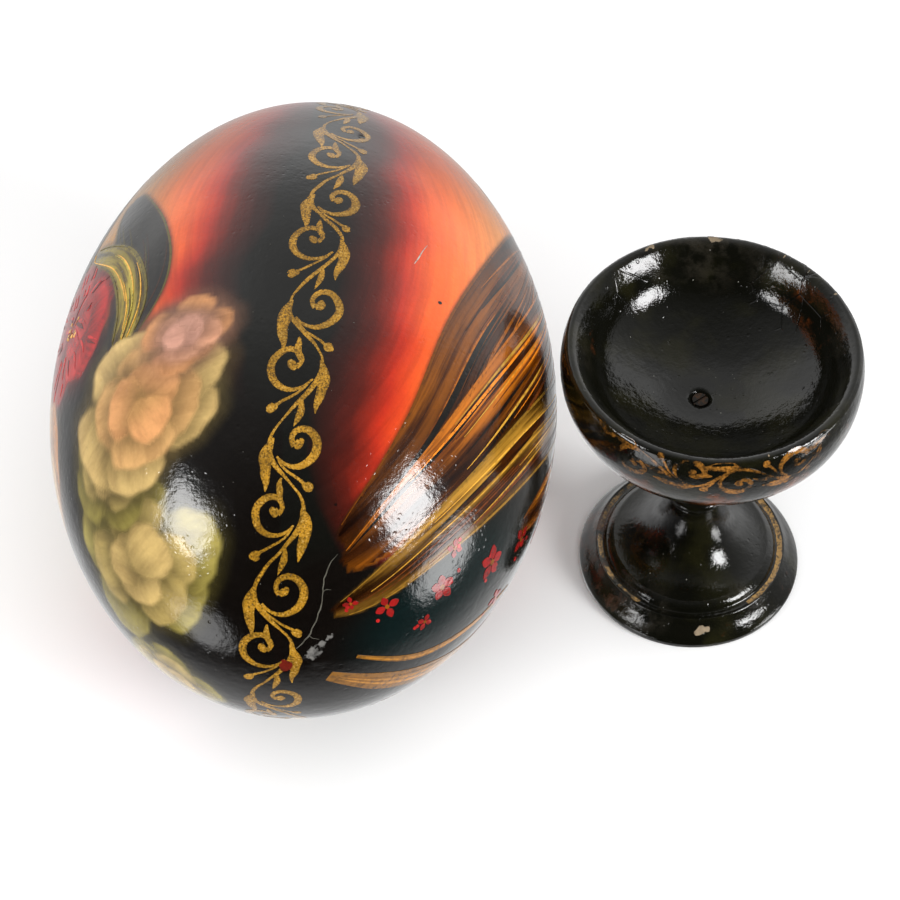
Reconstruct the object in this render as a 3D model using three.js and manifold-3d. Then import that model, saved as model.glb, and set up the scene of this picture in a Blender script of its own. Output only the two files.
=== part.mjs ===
// A painted and lacquered ostrich egg lying on its side beside its turned wooden stand.
//
// Millimetres, +Z up. The ground is z = 0 and the origin is under the middle of the pair.
// The egg lies to the left (-X) with its long axis along Y, pointed end away (+Y). It rests at the
// tilt where its weight is over its contact point, pointed end slightly down.
// The stand is upright to the right (+X): a shallow cup with its own short neck, screwed to a
// trumpet-shaped foot.

import * as THREE from "three";
import { mergeVertices } from "three/addons/utils/BufferGeometryUtils.js";
import Module from "manifold-3d";

// ---- driving dimensions, mm and degrees ----
const EGG_HALF_LENGTH = 83.6;
const EGG_RADIUS = 59.9;
const EGG_TAPER = 0.058; // how much thinner the pointed half is than the blunt half
const EGG_SLIMMING = -0.039; // how much both ends are drawn in from an ellipse
const EGG_TILT = -2.94; // of the long axis, pointed end down
const EGG_TURN = 1.77; // of the long axis about Z, pointed end towards the stand
const EGG_SEGMENTS = 48;
const EGG_ROWS = 32;

const STAND_FROM_EGG_X = 95.5;
const STAND_FROM_EGG_Y = -5.8;
const STAND_SEGMENTS = 44;

const CUP_RADIUS = 35.3;
const CUP_WIDEST_Z = 78.8;
const CUP_SHELL_DEPTH = 24.0; // from the widest circle down to the underside
const CUP_SHELL_FULLNESS = 2.3; // exponent of the outer curve: 2 is an ellipse
const LIP_Z = 85.6;
const LIP_RADIUS = 33.2; // of the lip's crest
const LIP_ROUND_WIDTH = 1.3; // the lip's outer edge is rounded by this much outwards
const LIP_ROUND_DEPTH = 1.4; // and by this much down
const HOLLOW_FLOOR_Z = 66.0;
// the hollow from the lip's crest to the floor: a steep wall that eases into a dish
const CUP_HOLLOW = [
  [32.5, 85.4], [31.9, 84.95], [31.4, 84.4], [30.1, 82.7], [28.8, 80.5], [27.4, 77.9],
  [26.5, 76.6], [25.3, 75.25], [23.5, 73.8], [20.7, 72.0], [16.6, 69.75], [12.6, 68.0],
  [8.6, 66.8], [4.3, 66.15], [0, HOLLOW_FLOOR_Z],
];
const NECK_RADIUS = 6.6; // at its top; it is a little thinner below
const JOINT_Z = 28.0; // where the cup's neck stands on the foot's stem
const JOINT_GAP = 0.3;
// the neck from its foot up, heights above the joint: a bead, then a slowly widening stem
const CUP_NECK = [
  [6.2, 0.3], [6.6, 0.5], [7.2, 1.2], [7.2, 2.4], [6.6, 3.1], [6.0, 3.7], [6.3, 10.3],
  [NECK_RADIUS, 21.8], [7.7, 25.2],
];
const CUP_UNDERSIDE_RADIUS = 9.6; // where the neck's flare runs into the underside

const FOOT_RADIUS = 27.8;
const STEP_RADIUS = 21.5;
const STEP_Z = 9.0;
const STEM_RADIUS = 6.4;
// the foot's edge from the ground up to its step: a chamfer, a rounded shoulder, a groove and
// the step's own chamfer
const FOOT_EDGE = [
  [27.2, 0], [FOOT_RADIUS, 0.6], [FOOT_RADIUS, 1.9], [26.6, 3.7], [25.2, 5.3], [23.8, 7.5],
  [22.4, 6.9], [STEP_RADIUS, 7.5], [20.6, 8.6],
];
const FLARE_EDGE_RADIUS = 21.9; // of the hollow curve from the step up to the stem
const FLARE_TOP_Z = 26.0;
const FLARE_START_ANGLE = 262; // of that curve where it leaves the step, degrees

const SCREW_OFFSET_X = -1.7; // the screw hole was drilled off the centre
const RECESS_RADIUS = 2.5;
const RECESS_DEPTH = 1.6;
const SCREW_RADIUS = 1.9;
const SCREW_HEIGHT = 0.9;
const SLOT_WIDTH = 0.6;
const SLOT_DEPTH = 0.4;
const SLOT_TURN = 35;

// ---- finishes ----
const eggLacquer = new THREE.MeshStandardMaterial({ color: 0x5a1d0f, roughness: 0.12, metalness: 0 });
const cupLacquer = new THREE.MeshStandardMaterial({ color: 0x12110e, roughness: 0.15, metalness: 0 });
const footLacquer = new THREE.MeshStandardMaterial({ color: 0x171512, roughness: 0.18, metalness: 0 });
const screwSteel = new THREE.MeshStandardMaterial({ color: 0x2a2825, roughness: 0.4, metalness: 0.8 });

const wasm = await Module();
wasm.setup();

// Points of an arc of an ellipse round (centreR, centreZ), from one angle to another in degrees.
function arc(centreR, centreZ, radiusR, radiusZ, fromAngle, toAngle, steps) {
  const points = [];
  for (let i = 0; i <= steps; i += 1) {
    const angle = THREE.MathUtils.degToRad(fromAngle + ((toAngle - fromAngle) * i) / steps);
    points.push([centreR + radiusR * Math.cos(angle), centreZ + radiusZ * Math.sin(angle)]);
  }
  return points;
}

// Turns a profile of [radius, z] pairs, listed from the bottom of the axis to its top, about Z.
function turned(profile, segments) {
  const points = profile.map(([radius, z]) => new THREE.Vector2(radius, z));
  const geometry = new THREE.LatheGeometry(points, segments);
  return geometry.rotateX(Math.PI / 2);
}

function toSolid(geometry) {
  const bare = geometry.clone();
  bare.deleteAttribute("normal");
  bare.deleteAttribute("uv");
  const merged = mergeVertices(bare, 1e-4);
  const kept = [];
  for (let i = 0; i < merged.index.count; i += 3) {
    const [a, b, c] = [0, 1, 2].map((k) => merged.index.getX(i + k));
    if (a !== b && b !== c && c !== a) kept.push(a, b, c);
  }
  return new wasm.Manifold(new wasm.Mesh({
    numProp: 3,
    vertProperties: new Float32Array(merged.attributes.position.array),
    triVerts: new Uint32Array(kept),
  }));
}

function toGeometry(solid) {
  const mesh = solid.getMesh();
  const geometry = new THREE.BufferGeometry();
  geometry.setAttribute("position", new THREE.BufferAttribute(mesh.vertProperties, 3));
  geometry.setIndex(new THREE.BufferAttribute(mesh.triVerts, 1));
  geometry.computeVertexNormals();
  return geometry;
}

// Radius of the egg at s, from -1 at the blunt pole to +1 at the pointed pole: an ellipse whose
// half-width is made smaller towards the pointed pole and drawn in at both ends.
function eggRadius(s) {
  return EGG_RADIUS * Math.sqrt(Math.max(0, 1 - s * s)) * (1 - EGG_TAPER * s + EGG_SLIMMING * s * s);
}

function makeEgg() {
  const profile = [];
  for (let i = 0; i <= EGG_ROWS; i += 1) {
    const s = -Math.cos((Math.PI * i) / EGG_ROWS);
    const onAxis = i === 0 || i === EGG_ROWS;
    profile.push([onAxis ? 0 : eggRadius(s), s * EGG_HALF_LENGTH]);
  }
  const geometry = turned(profile, EGG_SEGMENTS);
  geometry.rotateZ(Math.PI / EGG_SEGMENTS); // so that a facet, not an edge, is underneath
  geometry.rotateX(THREE.MathUtils.degToRad(EGG_TILT - 90));
  geometry.rotateZ(THREE.MathUtils.degToRad(-EGG_TURN));
  geometry.computeBoundingBox();
  const egg = new THREE.Mesh(geometry, eggLacquer);
  egg.name = "egg";
  egg.position.z = -geometry.boundingBox.min.z;
  return egg;
}

// Outer side of the cup: a superellipse from the widest circle down to the neck.
function cupOuterSide() {
  const points = [];
  const steps = 11;
  for (let i = 0; i <= steps; i += 1) {
    const angle = ((steps - i) / steps) * (Math.PI / 2);
    const across = Math.cos(angle) ** (2 / CUP_SHELL_FULLNESS);
    const down = Math.sin(angle) ** (2 / CUP_SHELL_FULLNESS);
    const radius = CUP_RADIUS * across;
    if (radius > CUP_UNDERSIDE_RADIUS) points.push([radius, CUP_WIDEST_Z - CUP_SHELL_DEPTH * down]);
  }
  return points;
}

function makeCup() {
  const profile = [
    [0, JOINT_Z + JOINT_GAP],
    ...CUP_NECK.map(([radius, height]) => [radius, JOINT_Z + height]),
    ...cupOuterSide(),
    ...arc(LIP_RADIUS, LIP_Z - LIP_ROUND_DEPTH, LIP_ROUND_WIDTH, LIP_ROUND_DEPTH, 10, 90, 4),
    ...CUP_HOLLOW,
  ];
  const recess = new THREE.CylinderGeometry(RECESS_RADIUS, RECESS_RADIUS, 2 * RECESS_DEPTH, 20);
  recess.rotateX(Math.PI / 2);
  recess.translate(SCREW_OFFSET_X, 0, HOLLOW_FLOOR_Z);
  const solid = toSolid(turned(profile, STAND_SEGMENTS)).subtract(toSolid(recess));
  const cup = new THREE.Mesh(toGeometry(solid), cupLacquer);
  cup.name = "stand_cup";
  return cup;
}

function makeScrew() {
  const head = new THREE.CylinderGeometry(SCREW_RADIUS, SCREW_RADIUS, SCREW_HEIGHT, 16);
  head.rotateX(Math.PI / 2);
  const slot = new THREE.BoxGeometry(3 * SCREW_RADIUS, SLOT_WIDTH, 2 * SLOT_DEPTH);
  slot.rotateZ(THREE.MathUtils.degToRad(SLOT_TURN));
  slot.translate(0, 0, SCREW_HEIGHT / 2);
  const screw = new THREE.Mesh(toGeometry(toSolid(head).subtract(toSolid(slot))), screwSteel);
  screw.name = "cup_screw";
  const seat = HOLLOW_FLOOR_Z - RECESS_DEPTH + JOINT_GAP;
  screw.position.set(SCREW_OFFSET_X, 0, seat + SCREW_HEIGHT / 2);
  return screw;
}

function makeFoot() {
  const flareWidth = FLARE_EDGE_RADIUS - STEM_RADIUS;
  const flareHeight = FLARE_TOP_Z - STEP_Z;
  const profile = [
    [0, 0],
    ...FOOT_EDGE,
    ...arc(FLARE_EDGE_RADIUS, FLARE_TOP_Z, flareWidth, flareHeight, FLARE_START_ANGLE, 180, 10),
    [STEM_RADIUS, JOINT_Z],
    [0, JOINT_Z],
  ];
  const foot = new THREE.Mesh(turned(profile, STAND_SEGMENTS), footLacquer);
  foot.name = "stand_foot";
  return foot;
}

// The three pieces of the stand share one upright axis.
function makeStand() {
  const stand = new THREE.Group();
  stand.add(makeFoot(), makeCup(), makeScrew());
  stand.position.set(STAND_FROM_EGG_X, STAND_FROM_EGG_Y, 0);
  return stand;
}

const pair = new THREE.Group();
pair.add(makeEgg(), makeStand());
pair.updateMatrixWorld(true);
const middle = new THREE.Box3().setFromObject(pair, true).getCenter(new THREE.Vector3());
pair.position.set(-middle.x, -middle.y, 0);

const group = new THREE.Group();
group.add(pair);

export default group;
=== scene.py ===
"""A painted and lacquered ostrich egg lying beside its turned wooden stand."""

import bpy
import numpy as np
from bpy.props import FloatProperty, FloatVectorProperty, PointerProperty
from mathutils import Matrix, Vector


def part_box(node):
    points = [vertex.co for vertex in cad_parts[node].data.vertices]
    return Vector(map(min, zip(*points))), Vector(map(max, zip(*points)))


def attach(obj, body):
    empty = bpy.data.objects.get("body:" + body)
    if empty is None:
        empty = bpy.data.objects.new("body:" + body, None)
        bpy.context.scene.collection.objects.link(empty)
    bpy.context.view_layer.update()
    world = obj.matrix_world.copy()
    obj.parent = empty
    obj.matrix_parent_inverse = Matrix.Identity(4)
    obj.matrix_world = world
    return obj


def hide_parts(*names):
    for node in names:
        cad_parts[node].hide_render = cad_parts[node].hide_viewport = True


bl_info = {
    "name": "Painted Ostrich Egg",
    "version": (1, 0, 0),
    "blender": (4, 5, 0),
    "location": "View3D > Sidebar > Painted Egg",
    "description": "A lacquered ostrich egg with gold scrollwork, and its turned wooden stand",
    "category": "Add Mesh",
}

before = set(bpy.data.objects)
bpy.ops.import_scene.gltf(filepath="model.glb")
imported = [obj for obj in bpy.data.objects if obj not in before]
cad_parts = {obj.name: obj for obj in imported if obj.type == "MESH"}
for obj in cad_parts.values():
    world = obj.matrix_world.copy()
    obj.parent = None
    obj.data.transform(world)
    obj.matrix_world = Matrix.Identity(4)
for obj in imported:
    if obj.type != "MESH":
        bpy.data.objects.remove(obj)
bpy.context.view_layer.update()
MM = 0.001  # shapes are worked out in millimetres and put into meshes in metres


def box_in_mm(node):
    """The low and high corners of a CAD node, in millimetres."""
    return [np.array(corner) * 1000 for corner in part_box(node)]


EGG_BOX, CUP_BOX, FOOT_BOX, SCREW_BOX = [box_in_mm(node) for node in (
    "egg", "stand_cup", "stand_foot", "cup_screw")]

# ---- the egg: half-length, radius, shape and how it lies ----
EGG_HALF_LENGTH = 83.6
EGG_RADIUS = 59.9
EGG_TAPER = 0.058
EGG_SLIMMING = -0.039
EGG_TILT = np.radians(-2.94)
EGG_TURN = np.radians(1.77)
SHELL_CELLS = 126  # along each side of the six grids that make the shell
SEAT_CELLS = 60  # the same, of the ball that the egg's seat is worked out with
STROKE_CELLS = 12  # and of the ball that the fine strokes are laid out on

# ---- the gold scroll that runs round the egg's meridian ----
SCROLL_PERIODS = 14
SCROLL_START = 24.6  # of the first crest, along the loop from the blunt pole
SCROLL_FALL = 0.56  # share of a period from a crest to the next trough
# where the scroll's middle wanders to: (millimetres along the loop, millimetres to the right)
SCROLL_WANDER = [(0, -2.2), (34, 0), (66, 2.8), (100, 5.7), (143, 8.2), (190, 5.5), (250, 1.0),
                 (330, -1.5), (400, -3.0)]

# ---- the stand ----
STAND_X, STAND_Y = (FOOT_BOX[0] + FOOT_BOX[1])[:2] / 2
JOINT_Z = FOOT_BOX[1][2]
LIP_Z = CUP_BOX[1][2]
CUP_RADIUS = 35.3
CUP_WIDEST_Z = 78.8
CUP_SHELL_DEPTH = 24.0
CUP_SHELL_FULLNESS = 2.3
LIP_RADIUS = 33.2
LIP_ROUND = (1.3, 1.4)  # how far the lip's outer edge is rounded, outwards and down
HOLLOW_FLOOR_Z = 66.0
# the hollow from the lip's crest to the floor: a steep wall that eases into a dish
CUP_HOLLOW = [(LIP_RADIUS, LIP_Z), (32.5, 85.4), (31.9, 84.95), (31.4, 84.4), (30.8, 83.65),
              (30.1, 82.7), (29.4, 81.65), (28.75, 80.5), (28.1, 79.2), (27.4, 77.9), (26.5, 76.6),
              (25.3, 75.25), (23.5, 73.8), (20.7, 72.0), (16.6, 69.75), (12.6, 68.0), (8.6, 66.8),
              (4.3, 66.15), (0, HOLLOW_FLOOR_Z)]
NECK_RADIUS = 6.6
FOOT_RADIUS = 27.8
FOOT_ROUND = 0.6  # of the foot's lower edge
STEP_RADIUS = 21.5
STEM_RADIUS = NECK_RADIUS - 0.2
PROFILE_SPACING = 0.8  # between rings of the turned meshes, at most
CUP_TURNS = 230  # points in each ring
FOOT_TURNS = 210
GOLD_RING_RADII = (22.2, 23.5)
SCREW_X, SCREW_Y = (SCREW_BOX[0] + SCREW_BOX[1])[:2] / 2
RECESS_RADIUS = 2.5
RECESS_DEPTH = 1.5

# ---- the camera ----
CAMERA_PLACE = (-0.925, -396.16, 562.08)
CAMERA_DIP = np.radians(52.913)
CAMERA_LENS = 106.56
SENSOR_WIDTH = 36.0

# ---- light: places in metres, or degrees from +Y towards +X and degrees up ----
LIGHT_AIM = np.array([0, 0, 0.06])
FILL_PLACE = np.array([0, -0.7, 1.5])
FILL_AIM = np.array([0, 0, 0.05])
FILL_SIZE = 1.8
FLOOR_HALF = 3000.0  # half of the floor's side, in millimetres
SOFTBOX_LEFT = (-123.6, 19.5)
SOFTBOX_RIGHT = (120.5, 21.0)
MIRRORED_BOXES = [(-136.0, -24.0, 3.0), (110.0, -17.0, 7.0)]  # and their brightness
# share of the room's brightness, from behind the camera (-1) to the backdrop ahead (1)
ROOM_BRIGHTNESS = 1.6
ROOM_LIGHT = [(-1, 0.0), (-0.7, 0.015), (-0.4, 0.08), (0.1, 0.25), (0.4, 0.48), (0.7, 0.53),
              (0.9, 0.66), (1.0, 0.92)]


def tone(red, green, blue):
    """A colour from its 0 to 255 screen values, as the linear values that shaders use."""
    screen = np.array([red, green, blue]) / 255
    linear = np.where(screen <= 0.04045, screen / 12.92, ((screen + 0.055) / 1.055) ** 2.4)
    return (*linear, 1.0)


# =====================================================================================
# Settings
# =====================================================================================

def colour_property(name, description, value):
    return FloatVectorProperty(name=name, description=description, default=tone(*value)[:3],
                               subtype="COLOR", size=3, min=0, max=1)


def length_property(name, description, value):
    return FloatProperty(name=name, description=description, default=value * MM,
                         subtype="DISTANCE", unit="LENGTH", min=0)


def power_property(name, description, value):
    return FloatProperty(name=name, description=description, default=value, subtype="POWER",
                         unit="POWER", min=0)


class EggSettings(bpy.types.PropertyGroup):
    lacquer: colour_property("Lacquer", "Black ground of the egg", (13, 13, 10))
    maroon: colour_property("Maroon", "Darkest edge of the glow", (84, 20, 10))
    red: colour_property("Red", "Outer glow", (184, 42, 18))
    orange: colour_property("Orange", "Inner glow", (236, 100, 32))
    amber: colour_property("Amber", "Heart of the glow", (224, 140, 62))
    gold: colour_property("Gold", "Bronze powder of the scroll", (168, 122, 32))
    paint_height: length_property("Paint height", "How proud the gold strokes stand", 0.045)
    scroll_height: length_property("Scroll height", "From the scroll's middle to its crests", 4.6)


class StandSettings(bpy.types.PropertyGroup):
    lacquer: colour_property("Lacquer", "Black lacquer of the stand", (14, 14, 9))
    brown: colour_property("Brown", "Where the lacquer has thinned", (92, 44, 14))
    wood: colour_property("Bare wood", "Chips through the lacquer", (152, 134, 108))
    gold: colour_property("Gold", "Frieze of the cup", (142, 94, 36))
    ring: colour_property("Ring", "Ring of the foot", (172, 134, 76))
    waver: length_property("Waver", "Hand-turned unevenness", 0.10)


class StudioSettings(bpy.types.PropertyGroup):
    softbox_size: length_property("Soft box size", "Side of each soft box", 330)
    softbox_distance: length_property("Soft box distance", "From the object", 900)
    left_power: power_property("Left power", "Of the left soft box", 4.4)
    right_power: power_property("Right power", "Of the right soft box", 7.4)
    fill_power: power_property("Fill power", "Of the broad light overhead", 24.0)
    floor: colour_property("Floor", "Pale floor", (240, 240, 240))


# =====================================================================================
# Shader helpers
# =====================================================================================

class Wire:
    """A shader value. Python's operators on it add the Math nodes that work it out."""

    def __init__(self, shader, socket):
        self.shader = shader
        self.socket = socket

    def __add__(self, other):
        return self.shader.math("ADD", self, other)

    def __sub__(self, other):
        return self.shader.math("SUBTRACT", self, other)

    def __rsub__(self, other):
        return self.shader.math("SUBTRACT", other, self)

    def __mul__(self, other):
        return self.shader.math("MULTIPLY", self, other)

    __radd__ = __add__
    __rmul__ = __mul__

    def step(self, low, high):
        """0 below low and 1 above high, with a smooth rise between them."""
        node = self.shader.node("ShaderNodeMapRange", {"interpolation_type": "SMOOTHSTEP"},
                                {"Value": self, "From Min": low, "From Max": high})
        return self.shader.wire(node, "Result")


class Shader:
    """The node tree of a material, or of a world, ending in one shader."""

    def __init__(self, owner, surface, output):
        self.owner = owner
        owner.use_nodes = True
        self.tree = owner.node_tree
        self.tree.nodes.clear()
        self.surface = self.node(surface)
        end = self.node(output)
        self.tree.links.new(self.surface.outputs[0], end.inputs["Surface"])

    def node(self, kind, settings=None, inputs=None):
        """One node: its settings first, then the values or links of its sockets."""
        node = self.tree.nodes.new(kind)
        for name, value in (settings or {}).items():
            if name == "stops":
                ramp = node.color_ramp
                while len(ramp.elements) < len(value):
                    ramp.elements.new(1.0)
                for element, (place, colour) in zip(ramp.elements, value):
                    element.position = place
                    element.color = colour
            else:
                setattr(node, name, value)
        for name, value in (inputs or {}).items():
            self.plug(value, node.inputs[name])
        return node

    def plug(self, value, socket):
        if isinstance(value, Wire):
            self.tree.links.new(value.socket, socket)
        elif socket.type == "RGBA" and len(value) == 3:
            socket.default_value = (*value, 1.0)
        else:
            socket.default_value = value

    def wire(self, node, output=0):
        return Wire(self, node.outputs[output])

    def math(self, operation, *values):
        inputs = dict(enumerate(values))
        return self.wire(self.node("ShaderNodeMath", {"operation": operation}, inputs))

    def place(self):
        """Object coordinates, in metres."""
        return self.wire(self.node("ShaderNodeTexCoord"), "Object")

    def attribute(self, name, output="Fac"):
        node = self.node("ShaderNodeAttribute", {"attribute_name": name})
        return self.wire(node, output)

    def noise(self, vector, scale, detail=2.0, roughness=0.5):
        node = self.node("ShaderNodeTexNoise", {},
                         {"Vector": vector, "Scale": scale, "Detail": detail,
                          "Roughness": roughness})
        return self.wire(node, "Fac")

    def cells(self, vector, scale, feature="F1"):
        node = self.node("ShaderNodeTexVoronoi", {"feature": feature},
                         {"Vector": vector, "Scale": scale})
        return self.wire(node, "Distance")

    def mix(self, factor, first, second, blend="MIX"):
        """Colours: the first where the factor is 0, the second where it is 1."""
        node = self.node("ShaderNodeMix", {"data_type": "RGBA", "blend_type": blend},
                         {0: factor, 6: first, 7: second})
        return self.wire(node, 2)

    def ramp(self, value, stops):
        node = self.node("ShaderNodeValToRGB", {"stops": stops}, {"Fac": value})
        return self.wire(node, "Color")

    def bump(self, height, distance):
        node = self.node("ShaderNodeBump", {}, {"Height": height, "Distance": distance})
        return self.wire(node, "Normal")

    def finish(self, **sockets):
        for name, value in sockets.items():
            self.plug(value, self.surface.inputs[name.replace("_", " ")])
        return self.owner


def material_shader(name):
    return Shader(bpy.data.materials.new(name), "ShaderNodeBsdfPrincipled",
                  "ShaderNodeOutputMaterial")


def gloss(shader, place, depth, carved=0.0):
    """The skin of hand-brushed varnish as one normal: broad waves, an orange peel, a fine ripple
    and scattered pits, and what is carved into it."""
    waves = shader.noise(place, 95.0, 3.0, 0.55)
    peel = shader.noise(place, 620.0, 3.0, 0.65)
    ripple = shader.noise(place, 1700.0, 2.0, 0.6)
    pits = 1 - shader.cells(place, 520.0).step(0.10, 0.26)
    sparse = shader.noise(place, 130.0, 1.0).step(0.48, 0.60)
    skin = waves + peel * 0.34 + ripple * 0.07 - pits * sparse * 0.2
    return shader.bump(skin - carved, depth)


# =====================================================================================
# Mesh helpers
# =====================================================================================

def make_piece(name, points, faces, material, chart=None, values=None, sharp_above=None):
    """A mesh object from points in millimetres and faces, smooth shaded, at the origin.

    chart is one pair of numbers for each point, kept as a UV map; values are named numbers,
    vectors or colours, one for each point. Edges that bend by more than sharp_above degrees
    stay sharp.
    """
    mesh = bpy.data.meshes.new(name)
    mesh.from_pydata((np.asarray(points) * MM).tolist(), [], faces)
    mesh.validate()
    mesh.polygons.foreach_set("use_smooth", np.ones(len(mesh.polygons), bool))
    if chart is not None:
        corners = np.zeros(len(mesh.loops), int)
        mesh.loops.foreach_get("vertex_index", corners)
        layer = mesh.uv_layers.new(name="chart")
        layer.data.foreach_set("uv", np.asarray(chart, np.float32)[corners].ravel())
    for label, numbers in (values or {}).items():
        numbers = np.asarray(numbers, np.float32)
        width = 1 if numbers.ndim == 1 else numbers.shape[1]
        kind, field = {1: ("FLOAT", "value"), 3: ("FLOAT_VECTOR", "vector"),
                       4: ("FLOAT_COLOR", "color")}[width]
        layer = mesh.attributes.new(label, kind, "POINT")
        layer.data.foreach_set(field, numbers.ravel())
    if sharp_above is not None:
        mesh.set_sharp_from_angle(angle=np.radians(sharp_above))
    mesh.materials.append(material)
    piece = bpy.data.objects.new(name, mesh)
    bpy.context.scene.collection.objects.link(piece)
    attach(piece, "root")
    return piece


def spline(knots, steps):
    """A smooth curve through knots of any number of columns: Catmull-Rom cubics, with the end
    knots doubled, read at equal steps of the knots' straight-line length."""
    knots = np.asarray(knots, float)
    before = np.vstack([2 * knots[:1] - knots[1:2], knots[:-1]])
    after = np.vstack([knots[1:], 2 * knots[-1:] - knots[-2:-1]])
    slopes = (after - before) / 2
    lengths = np.hypot(*np.diff(knots[:, :2], axis=0).T) + 1e-6
    marks = np.concatenate([[0], np.cumsum(lengths)])
    at = np.interp(np.linspace(0, marks[-1], steps), marks, np.arange(len(knots)))
    i = np.minimum(at.astype(int), len(knots) - 2)
    t = (at - i)[:, None]
    return ((2 * t**3 - 3 * t**2 + 1) * knots[i] + (t**3 - 2 * t**2 + t) * slopes[i]
            + (-2 * t**3 + 3 * t**2) * knots[i + 1] + (t**3 - t**2) * slopes[i + 1])


def ease(value, low, high):
    """0 below low and 1 above high, with a smooth rise between them, for arrays."""
    t = np.clip((value - low) / (high - low), 0, 1)
    return t * t * (3 - 2 * t)


def brush_strokes(strokes, surface, lift, sink=0.12):
    """Closed ribbons of paint that follow a surface.

    Each stroke is (steps, 3): two chart coordinates and a half-width at each step. Its section has
    five points: the left foot, left edge, crown, right edge and right foot. The edges and the
    crown stand lift above the surface and the feet sink below it; the ends are closed.
    Returns the points, the faces, the chart coordinates and how near each point is to an edge.
    """
    strokes = np.asarray(strokes, float)
    count, steps = strokes.shape[:2]
    middle, half = strokes[..., :2], strokes[..., 2]
    ahead = np.gradient(middle, axis=1)
    ahead /= np.linalg.norm(ahead, axis=-1, keepdims=True) + 1e-9
    left = np.stack([-ahead[..., 1], ahead[..., 0]], -1)
    reach = np.array([1, 1, 0, -1, -1])
    proud = np.array([0, 1, 1, 1, 0])
    height = np.broadcast_to(lift * proud - sink * (1 - proud), (count, steps, 5))
    chart = middle[:, :, None] + left[:, :, None] * (half[..., None] * reach)[..., None]
    spot, normal = surface(chart[..., 0], chart[..., 1])
    points = spot + normal * height[..., None]
    index = np.arange(count * steps * 5).reshape(count, steps, 5)
    here, there = index[:, :-1], index[:, 1:]
    sides = np.stack([here, np.roll(here, -1, 2), np.roll(there, -1, 2), there], -1)
    faces = sides.reshape(-1, 4).tolist()
    faces += index[:, 0, ::-1].tolist() + index[:, -1].tolist()
    edge = np.broadcast_to(np.abs(reach).astype(float), (count, steps, 5))
    return points.reshape(-1, 3), faces, chart.reshape(-1, 2), edge.ravel()


def turned(profile, turns):
    """A profile of (radius, z) that starts and ends on the axis, carried round the axis.

    A point is (radius cos turn, radius sin turn, z); the two ends are one point each. Returns the
    points, the faces, and each point's radius, turn and place along the profile in millimetres.
    """
    profile = np.asarray(profile, float)
    rows = len(profile) - 2
    angle = np.arange(turns) / turns * 2 * np.pi
    ring = profile[1:-1]
    radius = np.repeat(ring[:, 0], turns)
    turn = np.tile(angle, rows)
    z = np.repeat(ring[:, 1], turns)
    along = np.concatenate([[0], np.cumsum(np.hypot(*np.diff(profile, axis=0).T))])
    points = np.stack([radius * np.cos(turn), radius * np.sin(turn), z], -1)
    points = np.vstack([points, [0, 0, profile[0, 1]], [0, 0, profile[-1, 1]]])
    index = np.arange(rows * turns).reshape(rows, turns)
    near, far = index[:-1], index[1:]
    quads = np.stack([near, np.roll(near, -1, 1), np.roll(far, -1, 1), far], -1)
    first, last = rows * turns, rows * turns + 1
    bottom = np.stack([np.full(turns, first), np.roll(index[0], -1), index[0]], -1)
    top = np.stack([np.full(turns, last), index[-1], np.roll(index[-1], -1)], -1)
    faces = quads.reshape(-1, 4).tolist() + bottom.tolist() + top.tolist()
    radius = np.concatenate([radius, [0, 0]])
    turn = np.concatenate([turn, [0, 0]])
    along = np.concatenate([np.repeat(along[1:-1], turns), [along[0], along[-1]]])
    return points, faces, radius, turn, along


def arc(centre, radii, start, end, steps):
    """Points of an ellipse's arc, from one angle to another in degrees."""
    angle = np.radians(np.linspace(start, end, steps))
    return np.stack([centre[0] + radii[0] * np.cos(angle),
                     centre[1] + radii[1] * np.sin(angle)], -1)


def fill_profile(profile, spacing):
    """The same profile with points added so that none is further than spacing from the next."""
    profile = np.asarray(profile, float)
    filled = [profile[:1]]
    for start, end in zip(profile[:-1], profile[1:]):
        steps = max(1, int(np.ceil(np.hypot(*(end - start)) / spacing)))
        filled.append(start + (end - start) * (np.arange(1, steps + 1) / steps)[:, None])
    return np.vstack(filled)


# =====================================================================================
# The egg's surface and its two charts
# =====================================================================================

EGG_AHEAD = np.array([np.sin(EGG_TURN) * np.cos(EGG_TILT), np.cos(EGG_TURN) * np.cos(EGG_TILT),
                      np.sin(EGG_TILT)])
EGG_RIGHT = np.array([np.cos(EGG_TURN), -np.sin(EGG_TURN), 0.0])
EGG_UP = np.cross(EGG_RIGHT, EGG_AHEAD)


def taper(s):
    return 1 - EGG_TAPER * s + EGG_SLIMMING * s * s


def egg_from_ball(ball):
    """The egg's points and outward normals for points of a unit ball (ahead, up, right).

    A ball point at s along the axis moves to half_length * s, and its distance from the axis is
    multiplied by radius * taper(s). The normal is the gradient of that shape.
    """
    s, up, right = ball[..., 0:1], ball[..., 1:2], ball[..., 2:3]
    girth = EGG_RADIUS * taper(s)
    points = EGG_HALF_LENGTH * s * EGG_AHEAD + girth * (up * EGG_UP + right * EGG_RIGHT)
    slope = -EGG_TAPER + 2 * EGG_SLIMMING * s
    forward = EGG_RADIUS * (s * taper(s) - (1 - s * s) * slope)
    normals = forward * EGG_AHEAD + EGG_HALF_LENGTH * (up * EGG_UP + right * EGG_RIGHT)
    return points, normals / np.linalg.norm(normals, axis=-1, keepdims=True)


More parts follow.
